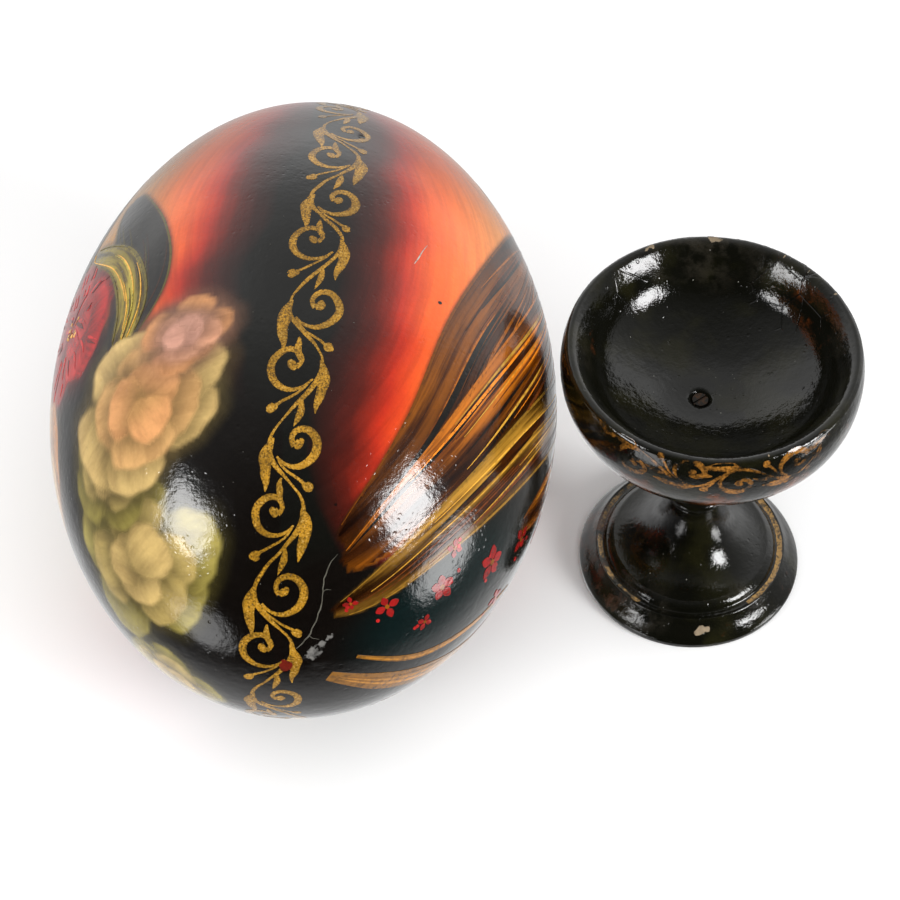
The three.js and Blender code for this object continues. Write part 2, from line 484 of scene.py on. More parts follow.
def unit_ball(cells):
    """Six square grids on a cube's sides, spaced by the tangent of equal angles and pushed out
    to the unit ball; points that sides share are made one."""
    t = np.tan(np.linspace(-np.pi / 4, np.pi / 4, cells + 1))
    a, b = np.meshgrid(t, t, indexing="ij")
    one = np.ones_like(a)
    sides = [(one, a, b), (-one, b, a), (b, one, a), (a, -one, b), (a, b, one), (b, a, -one)]
    points = np.concatenate([np.stack(side, -1).reshape(-1, 3) for side in sides])
    points /= np.linalg.norm(points, axis=-1, keepdims=True)
    key = np.round(points * 1e6).astype(np.int64)
    _, first, which = np.unique(key, axis=0, return_index=True, return_inverse=True)
    grid = np.arange((cells + 1) ** 2).reshape(cells + 1, cells + 1)
    quad = np.stack([grid[:-1, :-1], grid[1:, :-1], grid[1:, 1:], grid[:-1, 1:]], -1)
    quads = np.concatenate([quad.reshape(-1, 4) + k * grid.size for k in range(6)])
    return points[first], which.ravel()[quads]


def egg_seat():
    """Where the egg's own origin stands: its box is centred on the frame's, on the ground."""
    points, _ = egg_from_ball(unit_ball(SEAT_CELLS)[0])
    low, high = points.min(0), points.max(0)
    seat = (EGG_BOX[0] + EGG_BOX[1]) / 2 - (low + high) / 2
    seat[2] = -low[2]
    return seat


EGG_SEAT = egg_seat()
LOOP_ANGLE = np.linspace(0, 2 * np.pi, 4001)
LOOP_LENGTH = np.concatenate([[0], np.cumsum(np.hypot(
    np.diff(-EGG_HALF_LENGTH * np.cos(LOOP_ANGLE)),
    np.diff(EGG_RADIUS * np.sin(LOOP_ANGLE) * taper(-np.cos(LOOP_ANGLE)))))])
LOOP = LOOP_LENGTH[-1]


def band_to_ball(along, across):
    """Along the upright meridian loop from the blunt pole over the top, and to its right."""
    angle = np.interp(np.mod(along, LOOP), LOOP_LENGTH, LOOP_ANGLE)
    s = -np.cos(angle)
    side = across / (EGG_RADIUS * taper(s))
    return np.stack([s * np.cos(side), np.sin(angle) * np.cos(side), np.sin(side)], -1)


VARNISH_ROUGHNESS = 0.125
STAND_ROUGHNESS = 0.10
VARNISH_IOR = 1.5
GLOSS_DEPTH = 0.00018  # of the varnish's unevenness, in metres
STAND_GLOSS_DEPTH = 1.6 * GLOSS_DEPTH
STROKE_CORNER = 40  # edges of the strokes that bend by more degrees than this stay sharp
STROKE_SPACING = 1.5  # between the steps at which a stroke is read, about
BRUSHWORK_LIFT = 0.02  # how proud of the surface each kind of stroke stands
MARKS_LIFT = 0.055
FRIEZE_LIFT = 0.04
SEEDS = {"left": 11, "right": 23, "marks": 71, "scroll": 5, "frieze": 17, "cup": 3, "foot": 8}
# bare filler round the blow hole, whose grey is partly a painted highlight on its lumps: along and
# across the band, radius
FILLER = [(9.0, 7.4, 1.7), (11.4, 9.2, .8), (13.2, 10.8, .8)]
# bumps and pits of the shell: along and across the band, radius, height
LUMPS = [(9.0, 7.4, 3.0, .42), (13.2, 10.8, 1.8, .30), (8.4, 8.4, 1.1, -.5), (11.2, 8.9, .9, -.35),
         (7.2, 5.6, .9, -.3), (153.2, 12.6, 1.0, -.55)]


def shell_height(points):
    """How far points of the shell are pushed out: a faint broad unevenness, and a bell for each
    lump of the filler round the blow hole and for each pit."""
    x, y, z = np.moveaxis(points, -1, 0)
    height = 0.05 * (np.sin(x / 13 + 1) * np.sin(y / 17) + np.sin(z / 9 + y / 23 + 2))
    for along, across, radius, rise in LUMPS:
        spot, _ = egg_from_ball(band_to_ball(along, across))
        height = height + rise * np.exp(-(np.linalg.norm(points - spot, axis=-1) / radius) ** 2)
    return height


def egg_surface(ball):
    """The finished shell at points of the ball, with its unevenness, in place."""
    points, normals = egg_from_ball(ball)
    return EGG_SEAT + points + normals * shell_height(points)[..., None], normals


def band_surface(along, across):
    return egg_surface(band_to_ball(along, across))


def panel_surface(side):
    """The chart of one side of the egg, -1 left or 1 right, for strokes."""

    def surface(ahead, up):
        """Ahead and up from the side's middle: the distance from it is an arc of the ball."""
        away = np.hypot(ahead / EGG_HALF_LENGTH, up / EGG_RADIUS)
        round_ = np.arctan2(up / EGG_RADIUS, ahead / EGG_HALF_LENGTH)
        ball = np.stack([np.sin(away) * np.cos(round_), np.sin(away) * np.sin(round_),
                         side * np.cos(away)], -1)
        return egg_surface(ball)

    return surface


def ball_to_panel(ball):
    """The panel chart of ball points: millimetres ahead and up from the nearer side's middle."""
    away = np.arccos(np.clip(np.abs(ball[:, 2]), 0, 1))
    round_ = np.arctan2(ball[:, 1], ball[:, 0])
    return np.stack([away * EGG_HALF_LENGTH * np.cos(round_),
                     away * EGG_RADIUS * np.sin(round_)], -1)


# =====================================================================================
# The painting: soft colours laid on the shell's points, and fine strokes over them
# =====================================================================================

CREAM = np.array(tone(208, 176, 112)[:3])
PEACH = np.array(tone(214, 150, 96)[:3])
OLIVE = np.array(tone(158, 144, 72)[:3])
DEEP_OLIVE = np.array(tone(70, 62, 26)[:3])
ROSE = np.array(tone(196, 36, 34)[:3])
DEEP_ROSE = np.array(tone(62, 8, 10)[:3])
LEAF_GREEN = np.array(tone(168, 148, 44)[:3])
DARK_LEAF = np.array(tone(17, 14, 9)[:3])
UMBER = np.array(tone(98, 48, 14)[:3])
OCHRE = np.array(tone(204, 116, 26)[:3])
PALE_GOLD = np.array(tone(222, 164, 58)[:3])
TEAL = np.array(tone(14, 40, 40)[:3])
INK_BLACK = np.array(tone(12, 9, 7)[:3])

# the glow's colours by the distance from a side's middle, 1 near the middle of its red edge:
# shares of amber, orange, red, maroon and black
GLOW_STOPS = [(0.54, (1, 0, 0, 0, 0)), (0.68, (.5, .5, 0, 0, 0)), (0.79, (.1, .9, 0, 0, 0)),
              (0.87, (0, .7, .3, 0, 0)), (0.92, (0, .2, .8, 0, 0)), (0.96, (0, 0, .8, .2, 0)),
              (0.995, (0, 0, .3, .7, 0)), (1.04, (0, 0, 0, .85, .15)), (1.10, (0, 0, 0, .3, .7)),
              (1.17, (0, 0, 0, 0, 1))]
GLOW_MIDDLE = (20, 5)
GLOW_RADII = (136, 70)
GLOW_DIMMING = 0.42  # of the part towards the pointed end
GLOW_DIMMED = (12, 48)  # where that dimming starts and is full, ahead of the side's middle
LEFT_HEART_LOSS = (0.36, 0.16, 0.24)  # red, green and blue that the left side's heart lacks
# how much nearer its middle each side's glow ends, at places along the egg: ahead, amount
GLOW_ENDS_LEFT = [(-40, .03), (-16, .02), (-4, -.05), (12, -.06), (30, -.02), (50, -.03), (80, 0)]
GLOW_ENDS_RIGHT = [(-106, .30), (-93, .05), (-80, -.01), (-50, .02), (-20, .02), (10, .04),
                   (26, .06), (50, .14)]

# leaves: a spine from root to tip in the panel chart, and a half-width
LEFT_DARK_LEAVES = [
    ([(-32, 46), (-14, 56), (6, 54), (30, 43)], 8.8),
    ([(-4, 16), (26, 26), (54, 24), (82, 8)], 10),
    ([(-20, -24), (10, -44), (46, -50), (78, -40)], 11),
    ([(-56, -24), (-78, -38), (-98, -38), (-112, -22)], 10),
    ([(-30, -24), (-38, -50), (-28, -68), (-10, -76)], 9),
]
LEFT_GREEN_LEAVES = [
    ([(-34, 46), (-18, 54), (0, 50), (15, 34)], 4.6),
    ([(2, 8), (24, 8), (44, -4), (58, -24)], 6.5),
    ([(-8, -14), (10, -26), (16, -46), (8, -64)], 6.5),
]
# black ground that covers the glow round the blossoms: middle and reach each way
LEFT_SHADOWS = [((-80, 46), (58, 34)), ((-96, 8), (44, 40)), ((-42, 62), (18, 14)),
                ((-32, 22), (36, 33)), ((-56, -4), (56, 30))]
LEFT_SHADOW_FADE = (0.72, 1.05)  # shares of the reach where it starts to fade and is gone
# blossoms: centre, size, outer petals, inner petals, shade, folds; the red ones come first
RED_BLOSSOMS = 3
LEFT_BLOSSOMS = [
    ((42, -12), 22, ROSE, 0.8 * PEACH, DEEP_ROSE, 0.30),
    ((-8, 31), 19, ROSE, 0.8 * ROSE, DEEP_ROSE, 0.34),
    ((-54, -36), 22, ROSE, 0.8 * ROSE, DEEP_ROSE, 0.30),
    ((4, -36), 21, OLIVE, CREAM, DEEP_OLIVE, 0.05),
    ((-22, -6), 24, 0.9 * PEACH, CREAM, DEEP_OLIVE, 0.06),
    ((-92, -18), 17, OLIVE, 0.9 * CREAM, DEEP_OLIVE, 0.05),
    ((-80, 22), 24, 0.95 * OLIVE, 0.95 * CREAM, DEEP_OLIVE, 0.05),
    ((-56, 34), 15, 0.8 * OLIVE, 0.9 * CREAM, DEEP_OLIVE, 0.05),
    ((-49, 50), 22, CREAM, PEACH, 0.5 * OLIVE, 0.05),
    ((-37, 66), 11, 0.95 * PEACH, (0.70, 0.36, 0.27), (0.60, 0.30, 0.21), 0.05),
]
# how many petals a ring has; as shares of the blossom's size, how far out its petals start, their
# length and half-width; and how far their colour has gone from the outer petals' to the inner's
BLOSSOM_RINGS = [(5, 0.24, 0.78, 0.50, 0.0), (4, 0.10, 0.66, 0.42, 0.5), (3, -0.1, 0.56, 0.34, 0.9)]

# dark ground under the leaves: middle, reach each way, fade, ink and cover
RIGHT_SHADOWS = [((-30, -6), (96, 44), (0.86, 1.02), DARK_LEAF, 1.0),
                 ((-108, 2), (36, 44), (0.8, 1.05), INK_BLACK, 1.0),
                 ((-78, 10), (40, 20), (0.4, 1.0), 0.45 * TEAL, 0.8)]
# leaves: a spine and a half-width, the colour of the lit side and that of the pale strands
RIGHT_LEAVES = [
    ([(58, -40), (70, -12), (62, 12), (44, 30)], 11, 0.46 * OCHRE, 0 * PALE_GOLD),
    ([(20, -34), (44, -52), (74, -50), (100, -28)], 11, 0.46 * OCHRE, 0 * PALE_GOLD),
    ([(0, -34), (-28, -50), (-64, -50), (-96, -34)], 11, 0.46 * OCHRE, 0 * PALE_GOLD),
    ([(48, 2), (18, 28), (-20, 45), (-58, 46), (-96, 43)], 10.5, 0.46 * OCHRE, 0 * PALE_GOLD),
    ([(40, -14), (14, 12), (-24, 32), (-64, 39), (-100, 37)], 9.5, 1.3 * OCHRE, 0.7 * PALE_GOLD),
    ([(30, -24), (4, -2), (-32, 20), (-70, 28), (-110, 25)], 7.5, 0.9 * PALE_GOLD, 0.7 * PALE_GOLD),
    ([(18, -30), (-4, -16), (-24, -3), (-46, 6)], 6, 1.1 * OCHRE, 0.7 * PALE_GOLD),
]
# grass blades: a spine and a half-width
RIGHT_BLADES = [
    ([(-48, -27), (-72, -22), (-94, -13), (-117, 1)], 4.4),
    ([(-50, -12), (-72, -9), (-90, -4), (-108, 7)], 1.2),
    ([(8, -22), (30, -40), (40, -58), (36, -76)], 2.4),
    ([(0, -24), (14, -44), (14, -62), (4, -78)], 2.0),
]
RIGHT_FLOWERS = [(-95, 20, 3.6), (-78, 15, 4.2), (-60, 8, 4.4), (-86, 8, 2.6), (-70, 22, 2.6),
                 (-46, 2, 3.6), (-104, 26, 2.2), (-30, -12, 4.4), (-14, -30, 4.6), (2, -44, 4.2),
                 (-58, -8, 3.0), (56, -2, 4.0), (70, -18, 4.6)]


def leaf_width(t, width):
    """Half-width along a leaf: a quick swell from the root, then a taper to a blunt tip."""
    t = np.clip(t, 0, 1)
    return width * np.sin(np.pi * t ** 0.8) ** (0.8 - 0.42 * t)


def sideways(curve):
    """Unit steps to the left of a curve's way, at each of its points."""
    ahead = np.gradient(curve, axis=0)
    ahead /= np.linalg.norm(ahead, axis=-1, keepdims=True) + 1e-9
    return np.stack([-ahead[:, 1], ahead[:, 0]], -1)


# where a round dab is read, from its one side to its other, as shares of its radius
DAB_REACH = np.array([-1, -0.92, -0.7, -0.35, 0, 0.35, 0.7, 0.92, 1])
PETAL_MIDDLE = 0.55  # of a petal's ellipse, as a share of its length from the root
PETAL_REACH = 0.5  # half of the ellipse's length
STAMENS = 14
LEAF_STEPS = 139


class Painting:
    """One side of the egg: soft shapes laid one over the other on the shell's points, and strokes
    that show only where no later shape covers them."""

    def __init__(self, chart, ground, draws):
        self.x, self.y = chart[:, 0], chart[:, 1]
        self.colour = ground.copy()
        self.flow = chart * [0.03, 0.5]
        self.streaks = np.full(len(chart), 0.22)
        self.draws = draws
        self.shapes = []
        self.strokes = []

    def lay(self, colour, cover, where=slice(None)):
        cover = cover[:, None]
        self.colour[where] = self.colour[where] * (1 - cover) + np.asarray(colour) * cover

    def shadow(self, middle, reach, fade, ink=INK_BLACK, cover=1.0):
        """A soft oval of ink, full up to the first share of its reach and gone at the second."""
        away = np.hypot((self.x - middle[0]) / reach[0], (self.y - middle[1]) / reach[1])
        self.lay(ink, cover * (1 - ease(away, *fade)))

    def grain(self, along, across, where, cover, strength):
        """Turns the brush streaks of a shape's points to run along it."""
        mine = where[cover > 0.5]
        self.flow[mine] = np.stack([along, across], -1)[cover > 0.5] + self.draws.uniform(0, 90)
        self.streaks[mine] = strength

    # ---- petals ----

    def petal(self, root, angle, length, width, base, rim, folds):
        """One petal: an ellipse with a wavy edge, soft at its border. Its colour goes from base at
        the root to rim near the edge, and it throws a soft shade on what lies under it."""
        seed = self.draws.uniform()

        def inside(x, y):
            dx, dy = x - root[0], y - root[1]
            along = (dx * np.cos(angle) + dy * np.sin(angle)) / length
            across = (dy * np.cos(angle) - dx * np.sin(angle)) / width
            ahead = (along - PETAL_MIDDLE) / PETAL_REACH
            bearing = np.arctan2(across, ahead)
            wave = 0.05 * np.sin(3 * bearing + seed * 7) + 0.025 * np.sin(8 * bearing + seed * 13)
            away = np.hypot(ahead, across) + wave
            return (1 - away) * min(length / 2, width), along, across

        near = np.nonzero(np.hypot(self.x - root[0], self.y - root[1]) < length * 1.3 + 8)[0]
        depth, along, across = inside(self.x[near], self.y[near])
        self.lay(np.asarray(base) * 0.3, 0.42 * ease(depth, -5.0, 0.5), near)
        lamp = 0.10 * np.sin(angle) - 0.05 * np.cos(angle)
        shade = ease(along, -0.05, 0.75) * (0.80 + 0.20 * np.cos(across * 1.3 + seed)) + lamp
        fold = folds * np.sin(across * 7 + 2.5 * along + seed * 5) * ease(along, 0.05, 0.4)
        lit = np.clip(shade + fold + 0.15 * ease(depth, 3.0, 0.3), 0, 1)[:, None]
        cover = ease(depth, -0.6, 1.0)
        self.lay(np.asarray(base) * (1 - lit) + np.asarray(rim) * lit, cover, near)
        red = folds > 0.1
        fine = 0.55 if red else 0.16
        self.grain(along * length * 0.05, across * width * fine, near, cover, 0.5 if red else 0.34)
        self.shapes.append(lambda x, y: inside(x, y)[0] > 0.2)
        if not red:
            return
        out = np.array([np.cos(angle), np.sin(angle)])
        side = np.array([-out[1], out[0]])
        for _ in range(int(2 + 0.3 * width)):
            spread = self.draws.uniform(-0.8, 0.8)
            reach = np.sqrt(1 - spread ** 2) * PETAL_REACH + PETAL_MIDDLE
            start = self.draws.uniform(0.15, 0.45) * reach
            share = np.linspace(start, reach * self.draws.uniform(0.75, 0.97), 5)[:, None]
            bend = spread * width * np.sin(np.clip(share / reach, 0, 1) * np.pi * 0.55 + 0.1)
            dark = self.draws.uniform() < 0.5
            thick = self.draws.uniform(0.3, 0.7)
            self.stroke(np.array(root) + out * share * length + side * bend,
                        [0.04, thick, 0.7 * thick, 0.04],
                        0.5 * np.asarray(base) if dark else 1.05 * np.asarray(rim))

    def blossom(self, centre, size, outer, inner, deep, folds):
        """A full blossom: rings of broad overlapping petals."""
        for number, start, length, width, mixing in BLOSSOM_RINGS:
            turn = self.draws.uniform(0, 2 * np.pi)
            rim = np.asarray(outer) * (1 - mixing) + np.asarray(inner) * mixing
            base = np.asarray(deep) * 0.6 + rim * 0.4
            for k in self.draws.permutation(number):
                angle = turn + 2 * np.pi * k / number + self.draws.uniform(-0.25, 0.25)
                out = size * start * self.draws.uniform(0.8, 1.15)
                root = (centre[0] + out * np.cos(angle), centre[1] + out * np.sin(angle))
                shade = self.draws.uniform(0.82, 1.06)
                self.petal(root, angle + self.draws.uniform(-0.3, 0.3),
                           size * length * self.draws.uniform(0.85, 1.1),
                           size * width * self.draws.uniform(0.85, 1.15), base * shade,
                           rim * shade, folds)

    # ---- leaves ----

    def leaf(self, spine, width, base, rim, edge, shade=3.0):
        """A leaf's body round a curved spine, its colour going from base along it to rim, with
        streaks along it and an edge of its own ink; it shades what lies around it."""
        curve = spline(spine, LEAF_STEPS)
        left = sideways(curve)

        def inside(x, y):
            dx = x[:, None] - curve[None, :, 0]
            dy = y[:, None] - curve[None, :, 1]
            closest = np.hypot(dx, dy).argmin(1)
            row = np.arange(len(x))
            across = dx[row, closest] * left[closest, 0] + dy[row, closest] * left[closest, 1]
            away = np.hypot(dx[row, closest], dy[row, closest])
            share = closest / (LEAF_STEPS - 1)
            return leaf_width(share, width) - away, closest / 2, across

        low, high = curve.min(0) - width - 6, curve.max(0) + width + 6
        near = np.nonzero((self.x > low[0]) & (self.x < high[0])
                          & (self.y > low[1]) & (self.y < high[1]))[0]
        depth, closest, across = inside(self.x[near], self.y[near])
        self.lay(INK_BLACK, 0.75 * ease(depth, -shade, 0.5), near)
        lit = (0.5 + 0.5 * np.sin(across / width * 3.1 + closest / 13))[:, None]
        cover = ease(depth, -0.4, 0.7)
        self.lay(np.asarray(base) * (1 - lit) + np.asarray(rim) * lit, cover, near)
        self.grain(closest * 0.05, across * 0.45, near, cover, 1.0)
        self.shapes.append(lambda x, y: inside(x, y)[0] > 0.2)
        dense = spline(spine, 41)
        reach = leaf_width(np.linspace(0, 1, 41), width)[:, None]
        for side in (-1, 1):
            border = (dense + side * sideways(dense) * reach * 0.96)[2:-1]
            self.stroke(border, [0.10, 0.30, 0.30, 0.08], edge)

    def strands(self, spine, width, number, inks, thick):
        """Long strands that flow along a leaf: each keeps its own share of the leaf's width, near
        the spine at its start and nearer the edge at its end."""
        curve = spline(spine, 61)
        left = sideways(curve)
        for _ in range(number):
            share = self.draws.uniform(-0.92, 0.92)
            start = int(self.draws.uniform(0, 34))
            end = min(60, start + int(self.draws.uniform(12, 34)))
            at = np.arange(start, end + 1)
            lean = share * (0.62 + 0.38 * np.linspace(0, 1, len(at)))
            knots = curve[at] + left[at] * (lean * leaf_width(at / 60, width))[:, None]
            ink = np.asarray(inks[self.draws.integers(len(inks))])
            half = thick * self.draws.uniform(0.4, 1.2)
            self.stroke(knots[::3], [0.06, half, 0.85 * half, 0.06], ink)

    # ---- strokes ----

    def stroke(self, knots, widths, ink):
        """A stroke through knots; widths are half-widths at equal steps of the knots."""
        knots = np.asarray(knots, float)
        marks = np.linspace(0, 1, len(knots))
        width = np.interp(marks, np.linspace(0, 1, len(widths)), widths)
        ink = np.asarray(ink) * self.draws.uniform(0.8, 1.15)
        self.strokes.append((np.column_stack([knots, width]), ink, len(self.shapes)))

    def dot(self, spot, radius, ink):
        """A round dab: a short stroke whose half-width follows a circle."""
        reach = radius * DAB_REACH
        knots = np.column_stack([spot[0] + reach, np.full(len(reach), spot[1])])
        half = np.sqrt(np.maximum(radius ** 2 - reach ** 2, (0.12 * radius) ** 2))
        self.stroke(knots, half, ink)

    def blade(self, spine, width, ink):
        """A blade of grass: a dark body with strands of gold that meet at the tip."""
        curve = spline(spine, 21)
        left = sideways(curve)
        fade = np.linspace(1, 0.12, 21)[:, None] ** 0.7
        widths = width * np.array([0, 0.8, 1, 0.9, 0.5])
        self.stroke(curve, np.maximum(widths, 0.1), 0.5 * np.asarray(ink))
        for offset, share in ((-0.66, 0.55), (-0.3, 1.0), (0.1, 0.7), (0.5, 1.1)):
            strand = (curve + left * fade * offset * width)[1:-1]
            widths = [0.1, 0.17 * width, 0.15 * width, 0.08]
            self.stroke(strand, widths, np.asarray(ink) * share)

    def flower(self, centre, size, petals, ink, heart):
        """A small open flower: fat petal strokes round a dot."""
        turn = self.draws.uniform(0, 2 * np.pi)
        for k in range(petals):
            angle = turn + 2 * np.pi * k / petals
            way = np.array([np.cos(angle), np.sin(angle)])
            reach = size * self.draws.uniform(0.85, 1.1)
            self.stroke(np.array(centre) + way * np.linspace(0.2, 1, 5)[:, None] * reach,
                        size * np.array([0.10, 0.26, 0.32, 0.24, 0.06]), ink)
        self.dot(centre, 0.2 * size, heart)

    def visible(self, steps=25):
        """The strokes as (knots and half-width, ink), each cut to its longest stretch that no
        later shape covers."""
        curves = [spline(knots, steps) for knots, ink, order in self.strokes]
        spots = np.array(curves)[:, :, :2].reshape(-1, 2)
        order = np.repeat([order for knots, ink, order in self.strokes], steps)
        shown = np.ones(len(spots), bool)
        for k, covers in enumerate(self.shapes):
            test = np.nonzero(shown & (order <= k))[0]
            if len(test):
                shown[test] = ~covers(spots[test, 0], spots[test, 1])
        kept = []
        for curve, (knots, ink, _), seen in zip(curves, self.strokes, shown.reshape(-1, steps)):
            edges = np.flatnonzero(np.diff(np.concatenate([[0], seen.astype(int), [0]])))
            starts, ends = edges[::2], edges[1::2]
            if not len(starts):
                continue
            longest = (ends - starts).argmax()
            start, end = starts[longest], ends[longest]
            if end - start < 5:
                continue
            part = curve[start:end].copy()
            if start > 0:
                part[0, 2] *= 0.3
            if end < steps:
                part[-1, 2] *= 0.3
            kept.append((part, ink))
        return kept


def glow_colour(chart, on_right, egg):
    """The oval glow of a side: rings of colour by the distance from its middle, drawn out along
    the egg, from black through maroon, red and orange to amber."""
    x, y = chart[:, 0], chart[:, 1]
    away = np.hypot((x - GLOW_MIDDLE[0]) / GLOW_RADII[0], (y - GLOW_MIDDLE[1]) / GLOW_RADII[1])
    drift = 0.012 * np.sin(x / 17 + 1.3) + 0.008 * np.sin(x / 7.5) + 0.006 * np.sin(x / 3.1 + y / 9)
    away = away + drift * ease(away, 0.5, 0.8)
    left, right = np.array(GLOW_ENDS_LEFT).T, np.array(GLOW_ENDS_RIGHT).T
    away = away + np.where(on_right, np.interp(x, *right), np.interp(x, *left))
    inks = np.array([egg.amber, egg.orange, egg.red, egg.maroon, egg.lacquer])
    places = [place for place, _ in GLOW_STOPS]
    colours = np.array([shares for _, shares in GLOW_STOPS]) @ inks
    glow = np.stack([np.interp(away, places, colours[:, k]) for k in range(3)], -1)
    glow *= (1 - GLOW_DIMMING * ease(x, *GLOW_DIMMED))[:, None]
    heart = (1 - ease(away, 0.60, 0.90)) * (1 - on_right)
    return glow * (1 - heart[:, None] * LEFT_HEART_LOSS)


def paint_left(art):
    """Left side: cream and peach blossoms over black, red ones beyond them, among green and dark
    leaves."""
    for middle, reach in LEFT_SHADOWS:
        art.shadow(middle, reach, LEFT_SHADOW_FADE)
    for spine, width in LEFT_DARK_LEAVES:
        art.leaf(spine, width, DARK_LEAF, 1.5 * DARK_LEAF, 0.2 * LEAF_GREEN, 1.5)
        art.strands(spine, width, 12, [0.16 * LEAF_GREEN, 0.4 * UMBER], 0.2)
    for k, (centre, size, outer, inner, deep, folds) in enumerate(LEFT_BLOSSOMS):
        if k == RED_BLOSSOMS:
            for spine, width in LEFT_GREEN_LEAVES:
                art.leaf(spine, width, 0.5 * LEAF_GREEN, LEAF_GREEN, 0.3 * LEAF_GREEN)
                art.strands(spine, width, 12, [0.3 * LEAF_GREEN, PALE_GOLD, LEAF_GREEN], 0.22)
        art.blossom(centre, size, outer, inner, deep, folds)
        if folds < 0.1:
            continue
        for _ in range(STAMENS):
            angle = art.draws.uniform(0, 2 * np.pi)
            way = np.array([np.cos(angle), np.sin(angle)])
            tip = np.array(centre) + way * size * art.draws.uniform(0.06, 0.2)
            art.stroke([np.array(centre) + way, tip], [0.1, 0.2], 0.5 * OCHRE)
            art.dot(tip, 0.45, PALE_GOLD)


def paint_right(art):
    """Right side: long dark leaves full of golden strands over a black and teal shadow, with
    grass blades, small red flowers and berries."""
    for shadow in RIGHT_SHADOWS:
        art.shadow(*shadow)
    for spine, width, glint, pale in RIGHT_LEAVES:
        art.leaf(spine, width, 0.22 * UMBER, 0.7 * glint, 0.4 * glint, 1.0)
        art.strands(spine, width, 11, [INK_BLACK, 0.3 * UMBER], 0.8)
        art.strands(spine, width, 12, [UMBER, glint, pale], 0.34)
    for spine, width in RIGHT_BLADES:
        art.blade(spine, width, 0.28 * PALE_GOLD + 0.26 * OCHRE)
    for x, y, size in RIGHT_FLOWERS:
        art.flower((x, y), size, 5 if size > 4 else 4, 0.42 * ROSE, 0.3 * OCHRE)
        for _ in range(2):
            away = art.draws.uniform(-1.9, 1.9, 2) * size
            art.dot((x + away[0], y + 0.7 * away[1]), 0.6, 0.6 * ROSE)


def paint_egg(ball, chart, egg):
    """Paints both sides. Returns the shell's colour, streak direction and streak strength at each
    point, and the two sides' paintings."""
    colour = glow_colour(chart, ball[:, 2] > 0, egg)
    flow = np.zeros((len(ball), 3))
    streaks = np.zeros(len(ball))
    sides = []
    for side, painter, name in ((-1, paint_left, "left"), (1, paint_right, "right")):
        mine = (ball[:, 2] > 0) == (side > 0)
        art = Painting(chart[mine], colour[mine], np.random.default_rng(SEEDS[name]))
        painter(art)
        colour[mine] = art.colour
        flow[mine, :2] = art.flow
        streaks[mine] = art.streaks
        sides.append(art)
    return np.hstack([colour, np.ones((len(colour), 1))]), flow, streaks, sides


def stroke_mesh(strokes, surface, lift, rise=0.09):
    """Strokes of any length made into one set of ribbons: each is read at about even steps, and
    later ones stand a little higher, by rise in all. Returns the points, the faces, the chart
    and the ink of each point."""
    groups = {}
    for k, (knots, ink) in enumerate(strokes):
        length = np.hypot(*np.diff(knots[:, :2], axis=0).T).sum()
        steps = next((n for n in (7, 13, 25, 49) if length / (n - 1) < STROKE_SPACING), 81)
        groups.setdefault(steps, []).append((spline(knots, steps), ink, k))
    parts, start = [], 0
    for steps, group in groups.items():
        height = lift + rise * np.array([k for _, _, k in group]) / len(strokes)
        points, faces, chart, _ = brush_strokes([curve for curve, _, _ in group], surface,
                                                height[:, None, None])
        ink = np.repeat(np.array([ink for _, ink, _ in group]), steps * 5, axis=0)
        parts.append((points, [[corner + start for corner in face] for face in faces], chart, ink))
        start += len(points)
    points = np.vstack([part[0] for part in parts])
    chart = np.vstack([part[2] for part in parts])
    ink = np.vstack([part[3] for part in parts])
    faces = sum((part[1] for part in parts), [])
    return points, faces, chart, np.hstack([ink, np.ones((len(ink), 1))])


def brush_ink():
    """Fine brushwork under the same varnish: each stroke's ink, thin and thick in places."""
    shader = material_shader("brush_ink")
    place = shader.place()
    ink = shader.attribute("ink", "Color")
    drag = shader.noise(place, 700.0, 3.0, 0.6)
    colour = shader.mix(drag.step(0.44, 0.72) * 0.55, ink, (0.012, 0.009, 0.005))
    return shader.finish(Base_Color=colour, Roughness=VARNISH_ROUGHNESS, IOR=VARNISH_IOR,
                         Normal=gloss(shader, place, GLOSS_DEPTH))


def painted_lacquer():
    """Finish of the shell: the painted colours with brush streaks and mottling, under varnish,
    and the bare filler, whose light grey grains are partly a painted highlight on its lumps."""
    shader = material_shader("painted_lacquer")
    place = shader.place()
    paint = shader.attribute("paint", "Color")
    streak = shader.noise(shader.attribute("flow", "Vector"), 1.0, 4.0, 0.6)
    streaks = shader.attribute("streaks")
    streaked = shader.mix(streak.step(0.36, 0.66) * streaks, paint, (0.16, 0.12, 0.10),
                          "MULTIPLY")
    mottle = shader.noise(place, 1100.0, 3.0)
    mottled = shader.mix((mottle - 0.5) * 0.8 + 0.2, streaked, (0.74, 0.72, 0.68), "MULTIPLY")
    lump = shader.noise(place, 700.0, 4.0, 0.65)
    ragged = shader.attribute("bare") + (lump - 0.5) * 1.1
    bare = ragged.step(0.42, 0.62)
    # the filler's light grey grains: its own pale colour, and partly a painted highlight on its
    # lumps
    chalk = shader.mix(lump.step(0.40, 0.62), (0.03, 0.028, 0.025), (0.13, 0.125, 0.115))
    colour = shader.mix(bare, mottled, chalk)
    wear = shader.noise(place, 60.0, 3.0).step(0.45, 0.75)
    rough = wear * 0.03 + bare * 0.45 + VARNISH_ROUGHNESS
    return shader.finish(Base_Color=colour, Roughness=rough, IOR=VARNISH_IOR,
                         Normal=gloss(shader, place, GLOSS_DEPTH))


